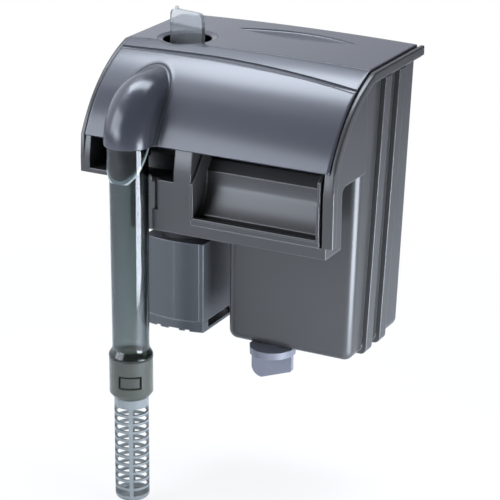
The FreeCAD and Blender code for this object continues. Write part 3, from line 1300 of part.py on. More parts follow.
facets = 12
cam_points = []
for i in range(facets):
    angle = 2 * math.pi * (i + 0.5) / facets
    cam_points.append((f"cam_radius * {math.cos(angle):.6f}",
                       f"cam_radius * {math.sin(angle):.6f} - cam_offset"))
cam_plate = prism("cam_plate", "XY", cam_points, "-cam_thick", "0")
wing = prism("wing", "XZ", [
    ("-wing_width / 2", "-cam_thick + 0.01"),
    ("-wing_width / 2", "wing_corner - cam_thick - wing_height"),
    ("wing_corner - wing_width / 2", "-cam_thick - wing_height", "wing_corner", 1),
    ("wing_width / 2 - 2", "wing_slope - cam_thick - wing_height"),
    ("wing_width / 2", "wing_slope - cam_thick - wing_height + 2", "2", 1),
    ("wing_width / 2", "-cam_thick + 0.01"),
], "-cam_offset - wing_thick / 2", "wing_thick / 2 - cam_offset")
stud = rod("cam_stud_rod", "cam_stud", "0", "0", "-0.01", "lid_seat + cam_stud_length")
stud_groove = cut("stud_groove", rod("stud_groove_outside", "cam_stud + 1", "0", "0", "4", "5.2"),
                  rod("stud_groove_inside", "cam_stud - 0.8", "0", "0", "3", "6"))
cam = cut("cam", fuse("cam_joined", cam_plate, wing, stud), stud_groove)
put(cam, "cam_right", "cam_y", "cam_top")
node(cam, "level_cam")

node(turned("cam_ring_body", [
    ("cam_stud - 0.78", "4.05"), ("cam_stud + run_fit / 2 - 0.02", "4.05"),
    ("cam_stud + run_fit / 2 - 0.02", "5.15"), ("cam_stud - 0.78", "5.15"),
], "cam_right", "cam_y", "cam_top"), "cam_ring")

# Checks and files

doc.recompute()
for item in doc.Objects:
    bad = [s for s in item.State if s in ("Invalid", "Error")]
    if bad:
        raise RuntimeError(f"{item.Name} ({item.Label}) failed: {bad}")
for item in NODES:
    if item.Shape.isNull() or not item.Shape.isValid():
        raise RuntimeError(f"{item.Label} has no valid shape")

os.makedirs("parts", exist_ok=True)
for item in NODES:
    item.Shape.exportStep(f"parts/{item.Label}.step")
    box = item.Shape.BoundBox
    print(f"{item.Label:22s} solids {len(item.Shape.Solids)} volume {item.Shape.Volume:10.1f} "
          f"x {box.XMin:7.1f} {box.XMax:7.1f} y {box.YMin:7.1f} {box.YMax:7.1f} "
          f"z {box.ZMin:7.1f} {box.ZMax:7.1f}")
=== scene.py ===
"""Dresses a hang-on aquarium filter: its lid, clear tube, media, finishes and stage.

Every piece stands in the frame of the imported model, in metres: +Z is up, -Y points into the tank,
and the origin is the middle of the slot that rests on the tank's rim.
"""

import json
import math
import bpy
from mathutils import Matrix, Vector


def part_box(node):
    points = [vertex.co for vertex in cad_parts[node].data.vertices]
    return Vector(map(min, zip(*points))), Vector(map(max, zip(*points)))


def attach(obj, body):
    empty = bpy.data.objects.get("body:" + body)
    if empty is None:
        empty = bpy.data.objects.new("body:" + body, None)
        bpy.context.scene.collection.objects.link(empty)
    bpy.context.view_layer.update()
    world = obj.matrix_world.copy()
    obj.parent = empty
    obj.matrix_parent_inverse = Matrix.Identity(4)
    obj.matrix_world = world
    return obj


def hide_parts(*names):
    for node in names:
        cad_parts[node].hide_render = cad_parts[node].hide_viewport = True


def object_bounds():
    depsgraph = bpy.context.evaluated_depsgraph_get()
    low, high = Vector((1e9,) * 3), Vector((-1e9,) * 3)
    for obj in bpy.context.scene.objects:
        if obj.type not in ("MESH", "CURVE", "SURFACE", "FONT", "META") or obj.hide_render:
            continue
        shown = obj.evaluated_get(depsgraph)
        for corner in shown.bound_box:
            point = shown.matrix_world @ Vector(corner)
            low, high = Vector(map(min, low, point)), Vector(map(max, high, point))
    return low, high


bl_info = {
    "name": "Hang-on filter dresser",
    "version": (1, 0, 0),
    "blender": (4, 5, 0),
    "location": "View3D > Sidebar > Filter",
    "description": "Makes the lid, the clear tube, the media, the finishes and the stage of a hang-on "
                   "aquarium filter",
    "category": "Object",
}

import bpy
import numpy as np
from bpy.props import FloatProperty, FloatVectorProperty, IntProperty, PointerProperty
from mathutils import Matrix, Vector

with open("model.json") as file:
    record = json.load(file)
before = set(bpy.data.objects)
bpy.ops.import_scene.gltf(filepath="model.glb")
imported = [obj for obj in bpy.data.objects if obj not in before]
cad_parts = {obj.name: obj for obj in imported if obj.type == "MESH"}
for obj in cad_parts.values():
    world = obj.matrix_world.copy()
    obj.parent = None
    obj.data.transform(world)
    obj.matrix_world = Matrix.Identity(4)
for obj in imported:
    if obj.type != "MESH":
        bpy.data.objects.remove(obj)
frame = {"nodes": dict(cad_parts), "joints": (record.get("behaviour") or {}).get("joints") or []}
CAD_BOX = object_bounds()
MM = 0.001


def corners(node):
    """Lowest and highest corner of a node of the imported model, as arrays."""
    low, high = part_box(node)
    return np.array(low), np.array(high)


LID_LOW, LID_HIGH = corners("lid")
TUBE_LOW, TUBE_HIGH = corners("intake_tube")
SLEEVE_LOW, SLEEVE_HIGH = corners("valve_sleeve")
INTAKE_X, TUBE_Y = ((TUBE_LOW + TUBE_HIGH) / 2)[:2]
PUMP_Y = (SLEEVE_LOW[1] + SLEEVE_HIGH[1]) / 2


# Sizes and colours that a user would change


def length(name, default, description):
    """A size in metres."""
    return FloatProperty(name=name, default=float(default), description=description, unit="LENGTH",
                         precision=5)


def shade(name, default, description):
    """A colour in linear light."""
    return FloatVectorProperty(name=name, default=default, description=description, subtype="COLOR",
                               size=3, min=0.0, max=1.0)


class LidSizes(bpy.types.PropertyGroup):
    """The sizes of the lid's skin."""

    half_width: length("Half width", LID_HIGH[0], "Middle of the lid to its side edge")
    top: length("Top", LID_HIGH[2], "Height of the flat top")
    lip: length("Lip", LID_LOW[2], "Height of the hood's lower lip")
    back: length("Back", LID_HIGH[1], "Back edge of the lid")
    crest: length("Crest", 20.7 * MM, "Where the flat top turns into the hood")
    lip_front: length("Lip front", -36.3 * MM, "How far the hood's lip reaches into the tank")
    hood_bow: length("Hood bow", 8.1 * MM, "How far the hood's arc bows out of its chord")
    wall: length("Wall", 2.2 * MM, "Wall of the lid")
    crown: length("Crown", 1.5 * MM, "How much higher the middle of the lid is than its side edges")
    edge: length("Edge", 0.5 * MM, "How far the rounded rim bulges")
    bend_y: length("Bend middle", -18.0 * MM, "Middle of the elbow's bend, front to back")
    bend_z: length("Bend height", 17.5 * MM, "Middle of the elbow's bend, in height")
    bend: length("Bend radius", 22.0 * MM, "Radius of the elbow's middle line")
    bulge: length("Bulge radius", 15.8 * MM, "Radius of the bulge over the elbow")
    bulge_wall: length("Bulge wall", 1.4 * MM, "Wall of the bulge")
    blend: length("Blend", 3.0 * MM, "How softly the bulge runs out into the hood")
    groove_drop: length("Groove drop", 9.6 * MM, "Crest down to the groove at the lid's left end")
    groove_fall: length("Groove fall", 10.4 * MM, "How much lower the groove is at the right end")
    groove_depth: length("Groove depth", 0.8 * MM, "Step at the groove")
    groove_width: length("Groove width", 5.0 * MM, "Width of the scoop below the groove's step")
    crease_depth: length("Crease depth", 0.4 * MM, "Depth of the fine crease along the crest")
    crease_width: length("Crease width", 0.5 * MM, "Half the width of that crease")
    hole: length("Knob hole", 15.9 * MM, "Radius of the hole round the flow knob")
    dish: length("Knob dish", 19.3 * MM, "Outer radius of the dished edge round that hole")
    grip_x: length("Grip middle", 10.5 * MM, "Middle of the grip recess, right of the middle")
    grip_y: length("Grip place", 71.0 * MM, "Middle of the grip recess, front to back")
    grip_half: length("Grip half length", 42.5 * MM, "Middle of the grip recess to its tip")
    grip_rise: length("Grip half width", 9.0 * MM, "Middle of the grip recess to its side")
    grip_depth: length("Grip depth", 2.6 * MM, "Depth of the grip recess")
    grip_side: length("Grip side", 0.45 * MM, "Width of the recess's steep side")
    grip_tip: length("Grip tip", 0.4 * MM, "Least half width of the grip recess, at its tips")


class TubeSizes(bpy.types.PropertyGroup):
    """The sizes of the clear intake tube, and of the elbow's socket and tongue."""

    radius: length("Radius", 12.4 * MM, "Outer radius of the tube")
    wall: length("Wall", 1.5 * MM, "Wall of the tube")
    taper: length("Taper", 0.5 * MM, "How much the radius shrinks down to the bell")
    engaged: length("Straight top", 27.0 * MM, "Straight upper end, held in the elbow")
    socket: length("Socket", 8.5 * MM, "Closed part of the elbow's socket, under the bend")
    tongue: length("Tongue", 16.5 * MM, "How far the elbow's tongue reaches below its socket")
    cut_top: length("Cut top", 2.0 * MM, "Top of the tongue's slanting cut, in front of the axis")
    cut_foot: length("Cut foot", 1.5 * MM, "Foot of that cut, behind the front of the elbow's leg")
    bell: length("Bell radius", 14.4 * MM, "Radius of the bell")
    bell_height: length("Bell height", 5.6 * MM, "Height of the bell")
    ring_low: length("Ring groove foot", 2.85 * MM, "Top end down to the foot of the ring's groove")
    ring_high: length("Ring groove top", 1.15 * MM, "Top end down to the top of the ring's groove")
    ring_depth: length("Ring groove depth", 0.9 * MM, "Depth of the ring's groove")
    steps: IntProperty(name="Steps round", default=96, min=12, description="Faces round the tube")


class Colours(bpy.types.PropertyGroup):
    """The colours of the filter's finishes."""

    case: shade("Case", (0.038, 0.038, 0.037), "Satin moulded case")
    lid: shade("Lid", (0.050, 0.052, 0.064), "Glossy moulded lid")
    motor: shade("Motor", (0.052, 0.056, 0.060), "Satin moulded motor housing")
    smoke: shade("Smoke", (0.23, 0.32, 0.33), "What the smoky plastic of the intake lets through")
    knob: shade("Knob", (0.80, 0.83, 0.85), "Clear plastic of the flow knob")
    strainer: shade("Strainer", (0.44, 0.48, 0.48), "Cloudy grey plastic of the strainer")
    collar: shade("Collar", (0.38, 0.41, 0.33), "Smoky grey-green plastic of the collar")
    cam: shade("Level adjuster", (0.155, 0.16, 0.19), "Satin plastic of the level adjuster")
    inner: shade("Inner parts", (0.05, 0.05, 0.055), "Plain dark plastic inside")


class StageSizes(bpy.types.PropertyGroup):
    """The camera, fitted to the photograph, and the stage round the filter."""

    camera_x: length("Camera X", 0.5872, "Camera's place, along the tank")
    camera_y: length("Camera Y", -1.1130, "Camera's place, front to back")
    camera_z: length("Camera Z", 0.4010, "Camera's place, in height")
    azimuth: FloatProperty(name="Azimuth", default=math.radians(27.237), subtype="ANGLE",
                           description="How far the camera stands to the right")
    elevation: FloatProperty(name="Elevation", default=math.radians(20.076), subtype="ANGLE",
                             description="How far the camera looks down")
    roll: FloatProperty(name="Roll", default=math.radians(0.527), subtype="ANGLE",
                        description="How far the camera is tilted about its line of sight")
    lens: FloatProperty(name="Lens", default=151.2, description="Focal length in millimetres")
    floor_gap: length("Floor gap", 6.0 * MM, "Strainer's foot down to the floor; the tube slides less")


# Meshes


def unit(arrows):
    """Arrows at length one."""
    return arrows / np.maximum(np.linalg.norm(arrows, axis=-1, keepdims=True), 1e-12)


def grid_faces(rows, columns, round_columns=False, round_rows=False):
    """Quads of points that are stored row by row; a round way also joins its last line to its first."""
    r = np.arange(rows if round_rows else rows - 1)[:, None]
    c = np.arange(columns if round_columns else columns - 1)[None, :]
    up = (r + 1) % rows
    right = (c + 1) % columns
    return np.stack([r * columns + c, r * columns + right, up * columns + right,
                     up * columns + c], axis=-1)


def border(rows, columns):
    """Numbers of a grid's border points, once round, against the clock as seen from outside."""
    number = np.arange(rows * columns).reshape(rows, columns)
    return np.concatenate([number[0, :-1], number[:-1, -1], number[-1, :0:-1], number[:0:-1, 0]])


def rim(points, outer, inner, outward, bulge):
    """A rounded strip between two rings of points: half an ellipse across the wall at each point."""
    steps = 5
    turn = np.linspace(0.0, math.pi, steps + 2)[1:-1, None, None]
    middle = (points[outer] + points[inner]) / 2
    half = (points[outer] - points[inner]) / 2
    rings = middle + half * np.cos(turn) + outward * bulge * np.sin(turn)
    first = len(points)
    count = len(outer)
    numbers = np.vstack([outer, first + np.arange(steps * count).reshape(steps, count), inner])
    following = np.roll(numbers, -1, axis=1)
    faces = np.stack([numbers[:-1], numbers[1:], following[1:], following[:-1]], axis=-1)
    return np.vstack([points, rings.reshape(-1, 3)]), faces.reshape(-1, 4)


def shell(outer, inner, bulge):
    """A closed sheet between two grids of the same size, with a rounded rim round its border."""
    rows, columns = outer.shape[:2]
    count = rows * columns
    outward = np.zeros_like(outer)
    outward[0] += unit(outer[0] - outer[1])
    outward[-1] += unit(outer[-1] - outer[-2])
    outward[:, 0] += unit(outer[:, 0] - outer[:, 1])
    outward[:, -1] += unit(outer[:, -1] - outer[:, -2])
    edge = border(rows, columns)
    front = grid_faces(rows, columns).reshape(-1, 4)
    points = np.vstack([outer.reshape(-1, 3), inner.reshape(-1, 3)])
    points, strip = rim(points, edge, edge + count, unit(outward).reshape(-1, 3)[edge], bulge)
    return points, [front, front[:, ::-1] + count, strip]


def make_piece(name, points, faces, body, nodes, material, marks=None):
    """Puts points and quads into a smooth mesh that rides on a body and stands for CAD nodes.

    Marks are named rows of three distances for each point, which the material can read.
    """
    mesh = bpy.data.meshes.new(name)
    mesh.from_pydata(points.reshape(-1, 3).tolist(), [], np.vstack(faces).tolist())
    mesh.polygons.foreach_set("use_smooth", np.ones(len(mesh.polygons), dtype=bool))
    mesh.materials.append(material)
    for label, rows in (marks or {}).items():
        mesh.attributes.new(label, "FLOAT_VECTOR", "POINT").data.foreach_set("vector", rows.ravel())
    mesh.update()
    piece = bpy.data.objects.new(name, mesh)
    bpy.context.scene.collection.objects.link(piece)
    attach(piece, body)
    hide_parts(*nodes)
    return piece


# Lid


def groove_drop(lid, x):
    """Distance of the groove below the crest: level on the left, then falling ever faster."""
    start = INTAKE_X / 2
    share = np.clip((x - start) / (lid.half_width - start), 0.0, 1.0)
    return lid.groove_drop + lid.groove_fall * share ** 1.6


def scoop_width(lid, x):
    """Width of the scoop below the groove: widest in the middle, closing towards both ends."""
    return lid.groove_width * (0.3 + 0.7 * (1.0 - (x / lid.half_width) ** 2))


def grip_half(lid, x):
    """Half width of the grip recess at a column: two arcs of one circle that meet at the tips."""
    circle = (lid.grip_half ** 2 + lid.grip_rise ** 2) / (2 * lid.grip_rise)
    inside = np.maximum(circle ** 2 - (x - lid.grip_x) ** 2, 0.0)
    return np.maximum(np.sqrt(inside) - (circle - lid.grip_rise), lid.grip_tip)


def hood_circle(lid):
    """Middle and radius of the hood's arc, from its crest, its lip and its bow."""
    rise = np.array([lid.crest - lid.lip_front, lid.top - lid.lip])
    chord = np.linalg.norm(rise)
    radius = (chord ** 2 / 4 + lid.hood_bow ** 2) / (2 * lid.hood_bow)
    middle = np.array([lid.crest + lid.lip_front, lid.top + lid.lip]) / 2
    middle += (radius - lid.hood_bow) * np.array([rise[1], -rise[0]]) / chord
    return middle[0], middle[1], radius


def hood_length(lid):
    """Length of the hood's arc from its crest to its lip."""
    y, z, radius = hood_circle(lid)
    angles = [math.atan2(top - z, side - y) for side, top in ((lid.crest, lid.top),
                                                              (lid.lip_front, lid.lip))]
    return radius * (angles[1] - angles[0])


def plain_lid(lid, s):
    """Side view of the plain lid: back along the flat top where s is below 0, else down the arc."""
    y, z, radius = hood_circle(lid)
    turn = math.atan2(lid.top - z, lid.crest - y) + np.maximum(s, 0.0) / radius
    return (np.where(s > 0.0, y + radius * np.cos(turn), lid.crest - s),
            np.where(s > 0.0, z + radius * np.sin(turn), lid.top))


def soft_least(a, b, width):
    """The smaller of two distances, rounded over a width where they are nearly equal."""
    share = np.clip(0.5 + 0.5 * (b - a) / width, 0.0, 1.0)
    return b * (1.0 - share) + a * share - width * share * (1.0 - share)


def lid_skin(lid, x, s):
    """Outer face of the lid without its grooves, at columns x and distances s from the crest.

    Also gives how far the face swells, and how far the plain lid's points lie outside the bulge.

    A ray runs out from the middle of the elbow's bend, or level from above it below that height,
    through the plain lid. Along it, the face lies where the rounded union of the plain lid and a
    pipe round the elbow begins. That place is found by halving. The crown then lifts the middle.
    """
    y, z = plain_lid(lid, s)
    from_z = np.minimum(z, lid.bend_z)
    reach = np.hypot(y - lid.bend_y, z - from_z)
    way_y = (y - lid.bend_y) / reach
    way_z = (z - from_z) / reach
    steep = np.where(way_y > 0.0, way_z, 1.0)
    aside = x - INTAKE_X
    near = reach.copy()
    far = reach + 3 * lid.bend
    for _ in range(40):
        trial = (near + far) / 2
        above = np.maximum((trial - lid.bend / steep) * steep, 0.0)
        gap = soft_least(trial - reach, np.hypot(aside, above) - lid.bulge, lid.blend)
        near = np.where(gap < 0.0, trial, near)
        far = np.where(gap < 0.0, far, trial)
    fade = np.cos(np.clip(s / hood_length(lid), 0.0, 1.0) * math.pi / 2) ** 2
    lift = lid.crown * (1.0 - (x / lid.half_width) ** 2) * fade
    swell = near - reach
    face = np.stack([x, lid.bend_y + way_y * near, from_z + way_z * near + lift], axis=-1)
    foot = np.hypot(aside, np.maximum(reach * steep - lid.bend, 0.0)) - lid.bulge
    return face, swell, foot


def lid_details(lid, x, y, s):
    """How far groove, crease, knob dish and grip recess push the lid's face in, as a negative height.

    The groove is a steep step with a scoop below it that runs out evenly. The crease is a bell curve
    across the crest, which fades towards the knob. The dish is a cone round the knob's hole.
    """
    step_width = 0.25 * MM
    fade_width = 6 * MM
    below = s - groove_drop(lid, x)
    step = np.clip(below / step_width + 0.5, 0.0, 1.0)
    scoop = step * np.clip(1.0 - below / scoop_width(lid, x), 0.0, 1.0)
    from_knob = np.hypot(x - INTAKE_X, y - PUMP_Y)
    beside_knob = np.clip((from_knob - lid.dish) / fade_width, 0.0, 1.0)
    crease = np.exp(-(s / lid.crease_width) ** 2) * beside_knob
    dish = np.clip((lid.dish - from_knob) / (lid.dish - lid.hole), 0.0, 1.0)
    return (-lid.groove_depth * scoop - lid.crease_depth * crease - lid.wall / 2 * dish
            - grip_drop(lid, x, y))


def lid_marks(lid, x, y, s, foot):
    """Distances from the crest, the groove and the bulge's foot, and from the hole and the grip, along
    which the lid's material paints shade lines.

    A mark holds three values for each point, so the place along x fills up the second one.
    """
    far = 20 * MM
    lines = np.stack([s, s - groove_drop(lid, x), foot], axis=-1)
    from_knob = np.hypot(x - INTAKE_X, y - PUMP_Y)
    rings = np.stack([from_knob, np.abs(y - lid.grip_y) - grip_half(lid, x), x], axis=-1)
    rings[..., 1] = np.where(np.abs(x - lid.grip_x) < lid.grip_half, rings[..., 1], far)
    return np.clip(lines, -far, far).reshape(-1, 3), rings.reshape(-1, 3)


def grip_drop(lid, x, y, grow=0.0):
    """Depth of the grip recess: steep sides, a hollow bottom, shallower towards its tips."""
    half = grip_half(lid, x) + grow
    inside = half - np.abs(y - lid.grip_y)
    side = np.clip(inside / lid.grip_side, 0.0, 1.0)
    hollow = 0.25 + 0.75 * (1.0 - np.clip(np.abs(y - lid.grip_y) / half, 0.0, 1.0) ** 2)
    taper = np.clip((half - lid.grip_tip) / lid.grip_rise, 0.0, 1.0) ** 0.5
    return lid.grip_depth * side * hollow * taper


def lid_columns(lid):
    """Places of the lid's columns: evenly round the bulge and evenly elsewhere."""
    edge = lid.half_width - lid.edge
    left = INTAKE_X - lid.bulge
    right = INTAKE_X + lid.bulge
    over = INTAKE_X + lid.bulge * np.sin(np.linspace(-math.pi / 2, math.pi / 2, 45))
    return np.concatenate([np.linspace(-edge, left, 16)[:-1], over, np.linspace(right, edge, 84)[1:]])


def lid_rows(lid, x):
    """Distances of the lid's rows from the crest, lip first: they follow the groove and the grip."""
    whole = hood_length(lid)
    _, z, radius = hood_circle(lid)
    lip = whole - lid.edge
    # The row at the height of the elbow's bend, below which the rays of the bulge are level
    level = whole - (lid.bend_z - lid.lip) / math.cos(math.asin((lid.bend_z - z) / radius))
    groove = groove_drop(lid, x)
    scoop = scoop_width(lid, x)
    half = grip_half(lid, x)
    side = np.minimum(lid.grip_side, 0.3 * half)
    middle = lid.crest - lid.grip_y
    # Each row: a distance from the crest, and how many rows of points lead up to it
    marks = [
        (lip, 0), (level, 3), (groove + scoop + 1.0 * MM, 40), (groove + scoop, 2),
        (groove + 0.35 * MM, 6), (groove + 0.12 * MM, 2), (groove - 0.12 * MM, 2),
        (groove - 0.5 * MM, 2), (1.2 * MM, 6), (0.0 * MM, 4), (-1.2 * MM, 4),
        (middle + half + 0.5 * MM, 26), (middle + half, 2), (middle + half - side, 3),
        (middle - half + side, 20), (middle - half, 3), (middle - half - 0.5 * MM, 2),
        (lid.crest - lid.back + lid.edge, 8),
    ]
    rows = [np.broadcast_to(marks[0][0], x.shape)[None, :]]
    for (start, _), (end, steps) in zip(marks[:-1], marks[1:]):
        share = (np.arange(steps) + 1.0)[:, None] / steps
        rows.append(start * (1.0 - share) + end * share * np.ones_like(x))
    return np.vstack(rows)


def normals_of(face):
    """Outward normals of a grid: the way along a row crossed with the way up a column."""
    return unit(np.cross(np.gradient(face, axis=1), np.gradient(face, axis=0)))


def knob_ring(lid, outer, x, s):
    """Rings from the knob's hole out to the rectangle of lid points left round it.

    The rectangle ends a little above the groove. Each ring point lies on the straight line from the
    hole's middle to a point of the rectangle. Its height is that of the lid at its place, where the
    flat top and the hood's arc meet softly.
    """
    circle_y, circle_z, radius = hood_circle(lid)
    half = lid.dish + 4.5 * MM
    lowest = 8.5 * MM
    columns = np.nonzero(np.abs(x - INTAKE_X) < half)[0]
    in_half = np.abs(outer[:, columns[0], 1] - PUMP_Y) < half
    rows = np.nonzero(in_half & (s[:, columns[0]] < lowest))[0]
    width = len(x)
    number = np.arange(outer.shape[0] * width).reshape(-1, width)
    block = number[rows[0]:rows[-1] + 1, columns[0]:columns[-1] + 1]
    loop = block.ravel()[border(*block.shape)]
    edge = outer.reshape(-1, 3)[loop]
    way = edge[:, :2] - (INTAKE_X, PUMP_Y)
    reach = np.linalg.norm(way, axis=1)
    way = way / reach[:, None]
    near = np.array([lid.hole, lid.hole + 0.3 * MM, (lid.hole + lid.dish) / 2, lid.dish - 0.3 * MM,
                     lid.dish, lid.dish + 0.4 * MM])[:, None]
    share = np.linspace(0.0, 1.0, 8)[1:-1, None]
    rings = np.vstack([near * np.ones_like(reach), near[-1] * (1 - share) + reach * share])
    ring_x = INTAKE_X + rings * way[:, 0]
    ring_y = PUMP_Y + rings * way[:, 1]
    arc = circle_z + np.sqrt(radius ** 2 - np.minimum(ring_y - circle_y, 0.0) ** 2)
    # Well behind the crest only the flat top counts
    arc = np.where(ring_y < lid.crest + 6 * MM, arc, lid.top + 3 * MM)
    top = soft_least(arc, np.full_like(arc, lid.top), 0.3 * MM)
    top = top + lid.crown * (1.0 - (ring_x / lid.half_width) ** 2)
    ring_s = lid.crest - ring_y
    drop = lid_details(lid, ring_x, ring_y, ring_s)
    outside = np.stack([ring_x, ring_y, top + drop], axis=-1)
    inside = np.stack([ring_x, ring_y, top - lid.wall], axis=-1)
    return block, loop, outside, inside


def lid_mesh(lid):
    """Points, faces and marks of the lid: a closed sheet with the knob's ring set into it.

    The quads inside the ring's rectangle are left out, and a seam joins the ring to their edge.
    """
    x = lid_columns(lid)
    s = lid_rows(lid, x)
    columns = np.broadcast_to(x, s.shape)
    skin, swell, foot = lid_skin(lid, columns, s)
    normals = normals_of(skin)
    details = lid_details(lid, columns, skin[..., 1], s)[..., None]
    in_bulge = np.clip(swell / (4 * MM), 0.0, 1.0)[..., None]
    wall = lid.wall * (1 - in_bulge) + lid.bulge_wall * in_bulge
    # Under the grip recess the inner face goes down too, over a slightly wider pan
    pan = 0.8 * grip_drop(lid, columns, skin[..., 1], 1.6 * MM)[..., None]
    outer = skin + normals * details
    inner = skin - normals * (wall + pan)
    block, loop, ring_outer, ring_inner = knob_ring(lid, outer, x, s)

    count = outer.shape[0] * outer.shape[1]
    points, (front, back, strip) = shell(outer, inner, lid.edge)
    inside_block = np.isin(front, block[1:-1, 1:-1]).any(axis=1)
    whole_block = np.isin(front, block).all(axis=1)
    keep = ~(inside_block | whole_block)
    rings, around = ring_outer.shape[:2]
    first = len(points)
    under = rings * around
    ring = first + grid_faces(rings, around, round_columns=True).reshape(-1, 4)
    points = np.vstack([points, ring_outer.reshape(-1, 3), ring_inner.reshape(-1, 3)])
    last = first + (rings - 1) * around + np.arange(around)
    seam = np.stack([last, loop, np.roll(loop, -1), np.roll(last, -1)], axis=-1)
    seam_under = np.stack([last + under, loop + count, np.roll(loop, -1) + count,
                           np.roll(last, -1) + under], axis=-1)
    hole = first + np.arange(around)
    inwards = unit(np.array([INTAKE_X, PUMP_Y, 0.0]) - points[hole] * (1, 1, 0))
    points, hole_strip = rim(points, hole, hole + under, inwards, 0.1 * MM)
    faces = [front[keep], back[keep], strip, ring[:, ::-1], ring + under, seam,
             seam_under[:, ::-1], hole_strip[:, ::-1]]

    lines, circles = lid_marks(lid, points[:, 0], points[:, 1], lid.crest - points[:, 1],
                               np.full(len(points), 1.0))
    lines[:count], circles[:count] = lid_marks(lid, columns, outer[..., 1], s, foot)
    return points, faces, {"lid_lines": lines, "lid_rings": circles}


class HANGON_OT_lid(bpy.types.Operator):
    """Makes the lid: flat top, hood, bulge over the elbow, grooves, knob hole and grip recess"""

    bl_idname = "hangon.lid"
    bl_label = "Lid"

    def execute(self, context):
        points, faces, marks = lid_mesh(context.scene.hangon_lid)
        make_piece("lid_cover", points, faces, "lid_body", ["lid"], lid_finish(context),
                   marks)
        return {"FINISHED"}


# Intake tube


def supported(profile, near):
    """A closed profile with a point just inside each end of its long runs, so they shade straight."""
    following = np.roll(profile, -1, axis=0)
    run = np.linalg.norm(following - profile, axis=1)[:, None]
    step = (following - profile) * np.minimum(near / run, 0.5)
    three = np.stack([profile, profile + step, following - step], axis=1)
    long = run[:, 0] > 4 * near
    return three[np.stack([np.ones_like(long), long, long], axis=1)]


class HANGON_OT_tube(bpy.types.Operator):
    """Makes the clear intake tube: its profile, with a ring groove and a bell, turned round its axis"""

    bl_idname = "hangon.tube"
    bl_label = "Intake tube"

    def execute(self, context):
        tube = context.scene.hangon_tube
        top = TUBE_HIGH[2]
        foot = TUBE_LOW[2]
        inside = tube.radius - tube.wall
        # Radius and height of each corner: down the inside, round the bell and up the outside
        profile = np.array([
            (inside, top - 0.4 * MM),
            (inside, foot + tube.bell_height + 1.5 * MM),
            (inside + 0.1 * MM, foot + tube.bell_height + 0.5 * MM),
            (tube.bell - tube.wall - 0.2 * MM, foot + tube.bell_height / 3 + 0.6 * MM),
            (tube.bell - tube.wall, foot + tube.bell_height / 3),
            (tube.bell - tube.wall, foot + 0.3 * MM),
            (tube.bell - tube.wall + 0.3 * MM, foot),
            (tube.bell - 0.5 * MM, foot),
            (tube.bell - 0.1 * MM, foot + 0.2 * MM),
            (tube.bell, foot + 0.6 * MM),
            (tube.bell - 0.2 * MM, foot + tube.bell_height / 5 + 0.3 * MM),
            (tube.radius - tube.taper + 0.2 * MM, foot + tube.bell_height - 0.4 * MM),
            (tube.radius - tube.taper, foot + tube.bell_height + 1.2 * MM),
            (tube.radius, top - tube.engaged),
            (tube.radius, top - tube.ring_low),
            (tube.radius - tube.ring_depth, top - tube.ring_low),
            (tube.radius - tube.ring_depth, top - tube.ring_high),
            (tube.radius, top - tube.ring_high),
            (tube.radius, top - 0.4 * MM),
            (tube.radius - 0.3 * MM, top),
            (inside + 0.3 * MM, top),
        ])
        profile = supported(profile, 0.4 * MM)
        turn = np.linspace(0.0, 2 * math.pi, tube.steps, endpoint=False)
        radius = profile[:, 0][:, None]
        points = np.stack([INTAKE_X + radius * np.cos(turn), TUBE_Y + radius * np.sin(turn),
                           profile[:, 1][:, None] + 0 * turn], axis=-1)
        faces = grid_faces(len(profile), tube.steps, round_columns=True, round_rows=True)
        make_piece("clear_tube", points, [faces.reshape(-1, 4)], "tube_body", ["intake_tube"],
                   smoky_plastic(context, "smoke_clear", 0.07, 0.25))
        return {"FINISHED"}


# Filter media


def leaning_pad(node, lean, swell, lumps):
    """Front and back grids of a pad that leans back with its guides.

    The pad's half thickness is largest in its middle and falls off steeply at its four edges, as
    one minus a high power of the way across and up. Crossed waves add the quilting or the lumps.
    """
    low, high = corners(node)
    thick = (high[1] - low[1]) - lean * (high[2] - low[2])
    across, up = np.meshgrid(np.linspace(-1, 1, 90), np.linspace(-1, 1, 110))
    edge = ((1 - np.abs(across) ** 8) * (1 - np.abs(up) ** 10)) ** 0.4
    waves = np.sin(across * lumps * math.pi) * np.sin(up * lumps * 1.3 * math.pi)
    half = thick / 2 * (0.25 + 0.75 * edge) * (1 - swell * (0.5 - 0.5 * waves) * edge)
    inset = 0.3 * MM
    x = (low[0] + high[0]) / 2 + across * ((high[0] - low[0]) / 2 - inset)
    z = (low[2] + high[2]) / 2 + up * ((high[2] - low[2]) / 2 - inset)
    middle = low[1] + thick / 2 + lean * (z - low[2])
    return np.stack([x, middle - half, z], axis=-1), np.stack([x, middle + half, z], axis=-1)


class HANGON_OT_media(bpy.types.Operator):
    """Makes the two floss pads and the bag of carbon"""

    bl_idname = "hangon.media"
    bl_label = "Filter media"

    def execute(self, context):
        axis = next(j["axis"] for j in frame["joints"] if j["name"] == "cartridge_front_lift")
        lean = axis[1] / axis[2]
        # Name, node, body, slot, swelling, and waves or lumps across
        media = [
            ("floss_front", "filter_pad_front", "cartridge_front_body", "filter_floss", 0.10, 9),
            ("floss_rear", "filter_pad_rear", "cartridge_rear_body", "filter_floss", 0.10, 9),
            ("carbon_pouch", "carbon_bag", "housing", "carbon_cloth", 0.25, 7),
        ]
        finishes = {"filter_floss": floss_finish(), "carbon_cloth": carbon_finish()}
        for name, node, body, slot, swell, lumps in media:
            front, back = leaning_pad(node, lean, swell, lumps)
            points, faces = shell(front, back, 0.2 * MM)
            pad = make_piece(name, points, faces, body, [node], finishes[slot])
        return {"FINISHED"}


# Shader node groups


